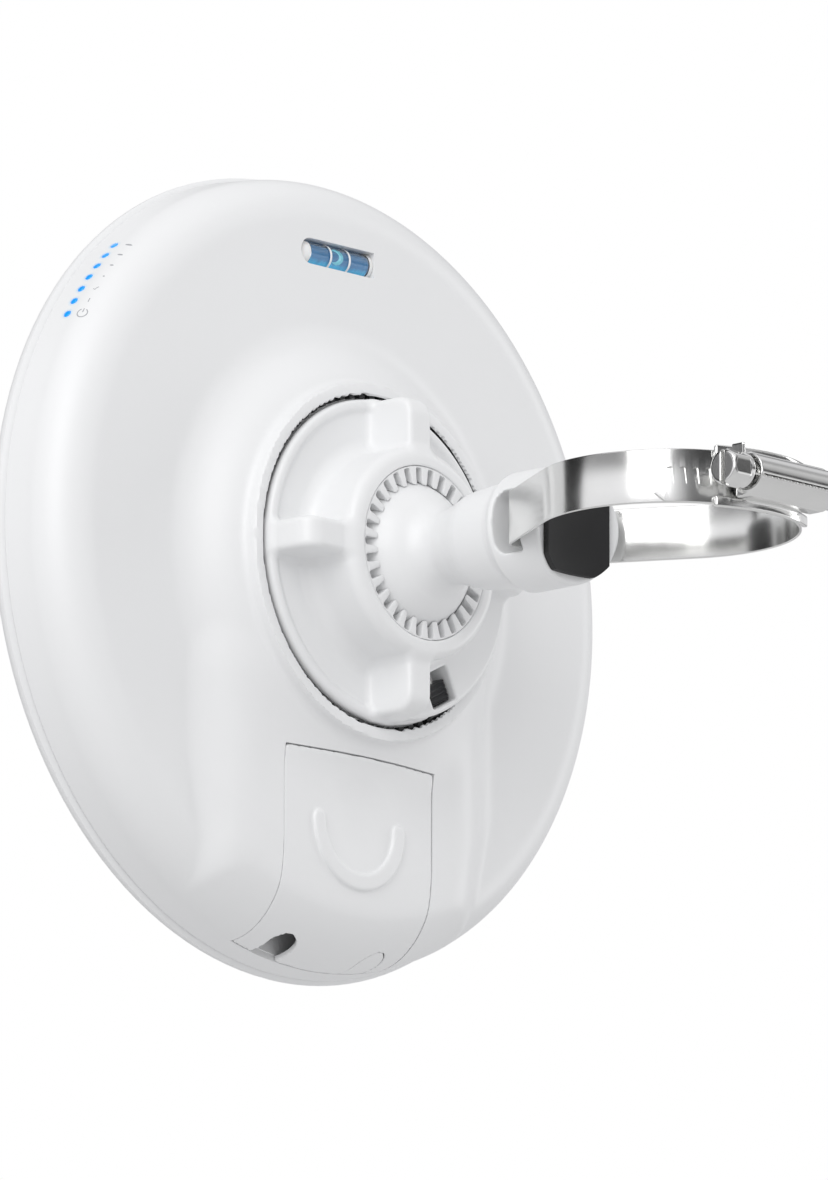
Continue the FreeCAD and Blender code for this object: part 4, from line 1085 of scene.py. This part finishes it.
def arm_field(size):
    """Ball, neck and saddle, with the way for the band through the saddle."""
    centre_y = BALL_Y / MM
    slot_back, slot_sides, slot_fronts = -43.0, [9.5, 11.5], [-36.9, -35.0]
    shoulder = [(centre_y, size.neck_radius - 1.0), (-67.0, size.neck_radius - 1.0),
                (-63.0, size.neck_radius), (-59.5, size.neck_radius + 1.3),
                (-57.5, size.neck_radius + 1.75), (-47.4, size.collar_radius),
                (-45.7, size.collar_radius + 0.6),
                (-44.2, size.saddle_radius), (0.0, size.saddle_radius)]
    places, radii = zip(*shoulder)

    def field(x, y, z):
        radius = np.hypot(x, z)
        ball = np.hypot(radius, y - centre_y) - size.ball_radius
        shank = meet(radius - np.interp(y, places, radii), centre_y - y)
        body = join(ball, shank, size.neck_blend)
        body = meet(body, size.pole_radius - np.hypot(x, y), 0.8)
        front = np.interp(np.abs(x), slot_sides, slot_fronts)
        slot = meet(np.abs(z) - size.slot_half, slot_back - y, size.slot_round)
        return cut(body, meet(slot, y - front, 0.6), 0.6)
    return field


class BRIDGE_OT_ball_arm(Operator):
    """Make the ball, its neck and the saddle that sits on the pole"""
    bl_idname = "bridge.ball_arm"
    bl_label = "Ball Arm"

    def execute(self, context):
        field = arm_field(in_mm(context.scene.bridge_arm))
        arm = moulded("ball_and_saddle", field, ARM[0] / MM, ARM[1] / MM, 0.5)
        dress(arm, "white_mount", "pole_mount", ["ball_arm"])
        return {"FINISHED"}


# ------------------------------------------------------------------ band and screw

def along_arc(centre, radius, first, last, step=1.0):
    """Path points with their outward directions, anticlockwise in degrees."""
    count = max(2, ceil(abs(last - first) / step) + 1)
    path = []
    for turn in np.radians(np.linspace(first, last, count)):
        out = (cos(turn), sin(turn))
        path.append((centre[0] + radius * out[0], centre[1] + radius * out[1], *out))
    return path


def band_path(size, offset=0.5):
    """Middle line of the band: round the pole, then straight to the back of the saddle."""
    thickness = size.thickness
    radius = size.pole_radius + thickness * offset
    back = BAND[0].y / MM + thickness * offset
    corner = (size.gap_half, back)
    lean = np.degrees(asin(radius / hypot(*corner)))
    touch = np.degrees(atan2(corner[1], corner[0])) + 90 - lean
    turn = 90 + touch
    bend = size.bend
    reach = bend * np.tan(radians(turn) / 2)
    right = along_arc((corner[0] - reach, back + bend), bend, -90, touch, 6.0)
    left = along_arc((-corner[0] + reach, back + bend), bend, 180 - touch, 270, 6.0)
    return along_arc((0, 0), radius, touch, 180 - touch) + left + right


def strip(name, path, halves, thickness, closed):
    """Rolled strip with rounded edges, along an upright path."""
    edge = thickness * 0.42
    flat = thickness / 2 - edge
    quarter = [(flat + edge * cos(turn), edge * sin(turn) - edge) for turn in np.linspace(0, pi / 2, 4)]
    section = [(out, 1, dz) for out, dz in quarter] + [(-out, 1, dz) for out, dz in quarter[::-1]]
    section += [(-out, -1, -dz) for out, dz in quarter] + [(out, -1, -dz) for out, dz in quarter[::-1]]
    points = []
    for (x, y, out_x, out_y), half in zip(path, halves):
        points += [(x + out_x * out, y + out_y * out, side * half + dz) for out, side, dz in section]
    count, rows = len(section), len(path)
    faces = []
    for row in range(rows if closed else rows - 1):
        here, ahead = row * count, (row + 1) % rows * count
        faces += [(here + k, ahead + k, ahead + (k + 1) % count, here + (k + 1) % count) for k in range(count)]
    if not closed:
        faces += [list(range(count)), list(range((rows - 1) * count, rows * count))]
    return mesh_piece(name, np.array(points) * MM, faces)


class BRIDGE_OT_band(Operator):
    """Make the steel band and its slotted tail"""
    bl_idname = "bridge.band"
    bl_label = "Band"

    def execute(self, context):
        size = in_mm(context.scene.bridge_clamp)
        half = size.width / 2
        path = band_path(size)
        loop = strip("clamp_band_loop", path, [half] * len(path), size.thickness, True)
        first, last = np.degrees(size.tail_start), np.degrees(size.tail_end)
        radius = size.pole_radius + size.thickness * 1.5
        step, point_length, point_slope = 0.6, 2.6, 0.8
        path = along_arc((0, 0), radius, first, last, step)
        halves = [half - max(0.0, point_length - radians(step * index) * radius) * point_slope
                  for index in range(len(path))]
        tail = strip("clamp_band_tail", path, halves, size.thickness, False)
        pitch = size.slot_pitch / radius
        first_slot, unslotted = 0.12, 0.22
        slot_half_width, slot_half_length, slot_lean = 0.6, 2.0, radians(7)
        cutters = []
        for index in range(int((radians(last - first) - unslotted) / pitch)):
            slot = block((radius - 2, -slot_half_width, -slot_half_length),
                         (radius + 2, slot_half_width, slot_half_length))
            turn = size.tail_start + first_slot + index * pitch
            slot.data.transform(Matrix.Rotation(turn, 4, "Z") @ Matrix.Rotation(slot_lean, 4, "X"))
            cutters.append(slot)
        carve(tail, merged("cutter", cutters))
        dress(loop, "stainless", "pole_mount", ["clamp_band"])
        dress(tail, "stainless", "pole_mount", ["band_tail"])
        return {"FINISHED"}


def clamp_field(size):
    """Pressed housing: a tube round the worm, webs down to two curved rails over the band's edges."""
    x0, x1 = -16.2, 13.2
    saddle, rail_outer, rail_edges, rail_swing, arc_per_degree = 31.75, 33.1, (4.7, 7.3), 29.0, 0.55
    web_foot, web_half, tube_wall = 31.9, 5.2, 0.7
    fold_x, fold_y, fold_z = (12.6, 13.6), (32.0, 35.4), (3.0, 7.3)
    mouth_x, mouth_floor, mouth_roof, mouth_half = (-13, 11), 28, size.screw_y - 2.6, 3.6
    seam_z, seam_half, seam_floor, seam_end = -1.1, 0.22, size.screw_y + 2.5, 0.6

    def field(x, y, z):
        around = np.hypot(x, y)
        swing = np.degrees(np.arctan2(x, y))
        rails = meet(between(around, saddle, rail_outer), between(np.abs(z), *rail_edges), 0.45)
        rails = meet(rails, (np.abs(swing) - rail_swing) * arc_per_degree, 0.8)
        radius = np.hypot(y - size.screw_y, z)
        tube = meet(radius - size.barrel_radius, between(x, x0, x1), 0.35)
        webs = meet(between(x, x0 + 3, x1 - 1), between(y, web_foot, size.screw_y))
        webs = meet(webs, np.abs(z) - web_half, 0.6)
        body = join(join(tube, webs, 0.8), rails, 0.5)
        body = meet(body, size.barrel_radius - tube_wall - radius)
        body = meet(body, saddle - around)
        fold = meet(meet(between(x, *fold_x), between(y, *fold_y)), between(z, *fold_z), 0.3)
        body = join(body, fold, 0.3)
        mouth = meet(meet(between(x, *mouth_x), between(y, mouth_floor, mouth_roof)), np.abs(z) - mouth_half)
        seam = meet(seam_floor - y, between(x, x0 + seam_end, x1 - seam_end))
        seam = meet(np.abs(z - seam_z) - seam_half, seam)
        return cut(cut(body, mouth), seam)
    return field


def screw_field(size):
    """Worm with a collar and a slotted hexagon head."""
    head0, head1 = 16.4, SCREW[1].x / MM
    flats = size.head_flats / 2
    slot_half, slot_depth, chamfer_length = 0.6, 1.8, 0.9
    core, thread_height, thread_pitch, thread_middle, thread_half = 2.9, 0.7, 2.2, -1.5, 12.6

    def field(x, y, z):
        up = y - size.screw_y
        radius = np.hypot(up, z)
        sides = np.abs(up)
        for turn in (pi / 3, -pi / 3):
            sides = meet(sides - flats, np.abs(up * cos(turn) + z * sin(turn)) - flats, 0.25) + flats
        chamfer = radius - flats - 0.45 - np.minimum(0.0, (head1 - chamfer_length - x) * 0.9)
        head = meet(meet(sides - flats, chamfer, 0.2), between(x, head0, head1), 0.25)
        head = cut(head, meet(np.abs(up) - slot_half, head1 - slot_depth - x), 0.1)
        collar = meet(radius - flats - 0.2, between(x, head0 - 1.4, head0 + 0.2), 0.3)
        wave = np.clip(np.abs((x / thread_pitch) % 1.0 - 0.5) * 4 - 0.6, 0, 1)
        worm = np.where(np.abs(x - thread_middle) < thread_half, core + thread_height * wave, core)
        shank = meet((radius - worm) * 0.7, between(x, SCREW[0].x / MM, head0))
        return join(join(head, collar), shank)
    return field


class BRIDGE_OT_screw_clamp(Operator):
    """Make the band screw and the pressed housing round it"""
    bl_idname = "bridge.screw_clamp"
    bl_label = "Screw Clamp"

    def execute(self, context):
        size = in_mm(context.scene.bridge_clamp)
        housing = moulded("clamp_screw_housing", clamp_field(size), CLAMP[0] / MM, CLAMP[1] / MM, 0.26)
        screw = moulded("clamp_worm_screw", screw_field(size), SCREW[0] / MM, SCREW[1] / MM, 0.2)
        dress(housing, "stainless", "pole_mount", ["clamp_housing"])
        dress(screw, "stainless", "band_screw", ["clamp_screw"])
        return {"FINISHED"}


# ------------------------------------------------------------------ inner pieces, stage and panel

NODE_FINISHES = {
    "radome": "white_shell", "rim_gasket": "black_rubber", "light_board": "circuit_green",
    "main_board": "circuit_green", "board_screws": "zinc_steel", "shield_cans": "tin_plate",
    "thermal_pads": "grey_rubber", "heat_spreader": "aluminium", "reflector": "aluminium",
    "feed_tube": "aluminium", "feed_cone": "feed_plastic", "sub_reflector": "aluminium",
    "ethernet_jack": "tin_plate", "jack_contacts": "gold_plate", "jack_gasket": "black_rubber",
    "reset_button": "dark_plastic", "reset_switch": "dark_plastic", "ball_cup": "white_mount",
    "cup_screws": "zinc_steel", "reflector_screws": "zinc_steel", "front_friction_pad": "friction_pad",
    "rear_friction_pad": "friction_pad", "detent_ring": "dark_plastic", "tab_spring": "stainless",
    "vent_membrane": "grey_rubber", "saddle_pad": "black_rubber",
}


class BRIDGE_OT_finishes(Operator):
    """Make the finishes and give each remaining node its own"""
    bl_idname = "bridge.finishes"
    bl_label = "Finishes"

    def execute(self, context):
        for key, material in make_finishes(context.scene).items():
            material.name = FINISH_PREFIX + key
        for node, key in NODE_FINISHES.items():
            piece = frame["nodes"][node]
            piece.data.materials.clear()
            piece.data.materials.append(finish_of(key))
        return {"FINISHED"}


def area_light(name, place, target, size, power):
    data = bpy.data.lights.new(name, "AREA")
    data.shape = "RECTANGLE"
    data.size, data.size_y = size
    data.energy = power
    lamp = bpy.data.objects.new(name, data)
    bpy.context.scene.collection.objects.link(lamp)
    lamp.location = place
    lamp.rotation_euler = (target - place).to_track_quat("-Z", "Y").to_euler()


def ramp_node(tree, factor, stops):
    """Grey ramp from (position, level) pairs."""
    ramp = add(tree, "ShaderNodeValToRGB", {"Fac": factor})
    elements = ramp.color_ramp.elements
    while len(elements) < len(stops):
        elements.new(0.5)
    for element, (position, level) in zip(elements, stops):
        element.position = position
        element.color = (level, level, level * 1.01, 1)
    return ramp.outputs["Color"]


def turn_stops(pairs):
    """Ramp stops from (compass angle in degrees, level) pairs."""
    return [(degrees / 360 + 0.5, level) for degrees, level in pairs]


# Grey levels of the set that reflections see, from straight down (0) to straight up (1).
SET_BY_HEIGHT = [(0.0, 0.55), (0.28, 0.9), (0.36, 0.2), (0.43, 0.55), (0.5, 0.95), (0.62, 1.0), (0.68, 0.35),
                 (0.76, 0.3), (0.82, 1.0), (1.0, 1.0)]
BACK_WALL_BY_HEIGHT = [(0.0, 0.6), (0.3, 0.85), (0.53, 0.9), (0.56, 0.05), (0.61, 0.05), (0.65, 0.4),
                       (0.78, 0.65), (0.86, 0.25), (0.92, 1.0)]
EVEN_LIGHT_BY_HEIGHT = [(0.0, 0.78), (0.5, 0.98), (1.0, 1.0)]
# Levels round the compass, in degrees from +X towards +Y, and where the back wall takes the set's place.
SET_BY_COMPASS = [(-180, 0.75), (-128, 0.8), (-108, 0.75), (-103, 0.05), (-41, 0.05), (-37, 1.0), (45, 1.0),
                  (60, 0.22), (88, 0.12), (104, 0.6), (125, 1.0), (150, 1.0), (168, 0.6), (180, 0.7)]
BACK_WALL_PLACE = [(106, 0.0), (118, 1.0), (164, 1.0), (176, 0.0)]


def studio_world(strength):
    """Even white light; reflections see softboxes and dark flags round the set instead."""
    world = bpy.data.worlds.new("studio")
    world.use_nodes = True
    tree = world.node_tree
    background = tree.nodes["Background"]
    place = add(tree, "ShaderNodeTexCoord").outputs["Generated"]
    parts = add(tree, "ShaderNodeSeparateXYZ", {0: place}).outputs
    height = math_node(tree, "MULTIPLY_ADD", parts["Z"], 0.5, 0.5)
    turn = math_node(tree, "ARCTAN2", parts["Y"], parts["X"])
    compass = math_node(tree, "MULTIPLY_ADD", turn, 0.5 / pi, 0.5)
    around = ramp_node(tree, compass, turn_stops(SET_BY_COMPASS))
    boxes = blend(tree, 1.0, ramp_node(tree, height, SET_BY_HEIGHT), around, blend_type="MULTIPLY")
    wall = ramp_node(tree, height, BACK_WALL_BY_HEIGHT)
    shine = blend(tree, ramp_node(tree, compass, turn_stops(BACK_WALL_PLACE)), boxes, wall)
    full = 1.0 / strength
    shine = add(tree, "ShaderNodeVectorMath", {0: shine, "Scale": full}, operation="SCALE").outputs[0]
    rays = add(tree, "ShaderNodeLightPath").outputs
    lit = blend(tree, rays["Is Glossy Ray"], ramp_node(tree, height, EVEN_LIGHT_BY_HEIGHT), shine)
    seen = blend(tree, rays["Is Camera Ray"], lit, (full, full, full, 1))
    tree.links.new(seen, background.inputs["Color"])
    background.inputs["Strength"].default_value = strength
    return world


SENSOR_WIDTH = 36.0


def aim_camera(settings, target):
    """Camera far off, so that the view has almost no perspective."""
    azimuth, elevation = settings.azimuth, settings.elevation
    back = Vector((sin(azimuth) * cos(elevation), -cos(azimuth) * cos(elevation), sin(elevation)))
    data = bpy.data.cameras.new("camera")
    data.lens = settings.lens
    data.sensor_width = SENSOR_WIDTH
    distance = settings.frame_height * settings.lens / data.sensor_width
    data.clip_start, data.clip_end = 0.1, 60.0
    camera = bpy.data.objects.new("camera", data)
    bpy.context.scene.collection.objects.link(camera)
    camera.location = target + back * distance
    camera.rotation_euler = back.to_track_quat("Z", "Y").to_euler()
    bpy.context.scene.camera = camera
    return back


AIM_FROM_BALL = Vector((-0.0209, -0.0119, -0.0022))
FLOOR_REACH = 9.0
# Each light's place from the ball (to the camera's right, towards the camera, up), then its width and height.
KEY_PLACE, KEY_SIZE = (-0.35, 1.3, 0.9), (0.8, 1.2)
FILL_PLACE, FILL_SIZE = (1.6, -0.9, 0.1), (0.3, 1.4)


class BRIDGE_OT_stage(Operator):
    """Make the floor, the light and the camera"""
    bl_idname = "bridge.stage"
    bl_label = "Stage"

    def execute(self, context):
        settings = context.scene.bridge_stage
        reach, drop = FLOOR_REACH, -settings.floor_drop
        corners = [(-reach, -reach, drop), (reach, -reach, drop), (reach, reach, drop), (-reach, reach, drop)]
        floor = mesh_piece("floor", corners, [(0, 1, 2, 3)])
        material = plastic("floor_paint", (0.88, 0.88, 0.88), gloss=0.7, grain=0.01, depth=0.0001,
                           spread=0.01)
        floor.data.materials.append(material)
        ball = Vector((0, BALL_Y, 0))
        back = aim_camera(settings, ball + AIM_FROM_BALL)
        context.scene.world = studio_world(settings.world)
        side = Vector((0, 0, 1)).cross(back).normalized()
        for name, (right, near, up), size, power in (("key", KEY_PLACE, KEY_SIZE, settings.key),
                                                     ("fill", FILL_PLACE, FILL_SIZE, settings.fill)):
            area_light(name, ball + side * right + back * near + Vector((0, 0, up)), ball, size, power)
        context.scene.view_settings.view_transform = "Standard"
        return {"FINISHED"}


OPERATORS = (
    BRIDGE_OT_finishes, BRIDGE_OT_rear_housing, BRIDGE_OT_port_cover, BRIDGE_OT_level_vial,
    BRIDGE_OT_status_lights, BRIDGE_OT_lock_nut, BRIDGE_OT_ball_arm, BRIDGE_OT_band, BRIDGE_OT_screw_clamp,
    BRIDGE_OT_stage,
)
GROUPS = {
    "bridge_housing": HousingSizes, "bridge_cover": CoverSizes, "bridge_nut": NutSizes,
    "bridge_arm": ArmSizes,
    "bridge_clamp": ClampSizes, "bridge_vial": VialSizes, "bridge_lights": LightSizes,
    "bridge_finishes": Finishes, "bridge_stage": StageSettings,
}


class BRIDGE_PT_panel(Panel):
    """Sizes, colours and operators of the bridge"""
    bl_idname = "BRIDGE_PT_panel"
    bl_label = "Wireless Bridge"
    bl_space_type = "VIEW_3D"
    bl_region_type = "UI"
    bl_category = "Wireless Bridge"

    def draw(self, context):
        for operator in OPERATORS:
            self.layout.operator(operator.bl_idname)
        for name, group in GROUPS.items():
            column = self.layout.column(align=True)
            column.label(text=group.__doc__.split(",")[0].rstrip("."))
            for key in group.__annotations__:
                column.prop(getattr(context.scene, name), key)


def register():
    for group in GROUPS.values():
        bpy.utils.register_class(group)
    for operator in OPERATORS:
        bpy.utils.register_class(operator)
    bpy.utils.register_class(BRIDGE_PT_panel)
    for name, group in GROUPS.items():
        setattr(bpy.types.Scene, name, PointerProperty(type=group))


def unregister():
    for name in GROUPS:
        delattr(bpy.types.Scene, name)
    bpy.utils.unregister_class(BRIDGE_PT_panel)
    for operator in reversed(OPERATORS):
        bpy.utils.unregister_class(operator)
    for group in reversed(list(GROUPS.values())):
        bpy.utils.unregister_class(group)


def main():
    register()
    bpy.ops.bridge.finishes()
    bpy.ops.bridge.rear_housing()
    bpy.ops.bridge.port_cover()
    bpy.ops.bridge.level_vial()
    bpy.ops.bridge.status_lights()
    bpy.ops.bridge.lock_nut()
    bpy.ops.bridge.ball_arm()
    bpy.ops.bridge.band()
    bpy.ops.bridge.screw_clamp()
    bpy.ops.bridge.stage()


if __name__ == "__main__":
    main()
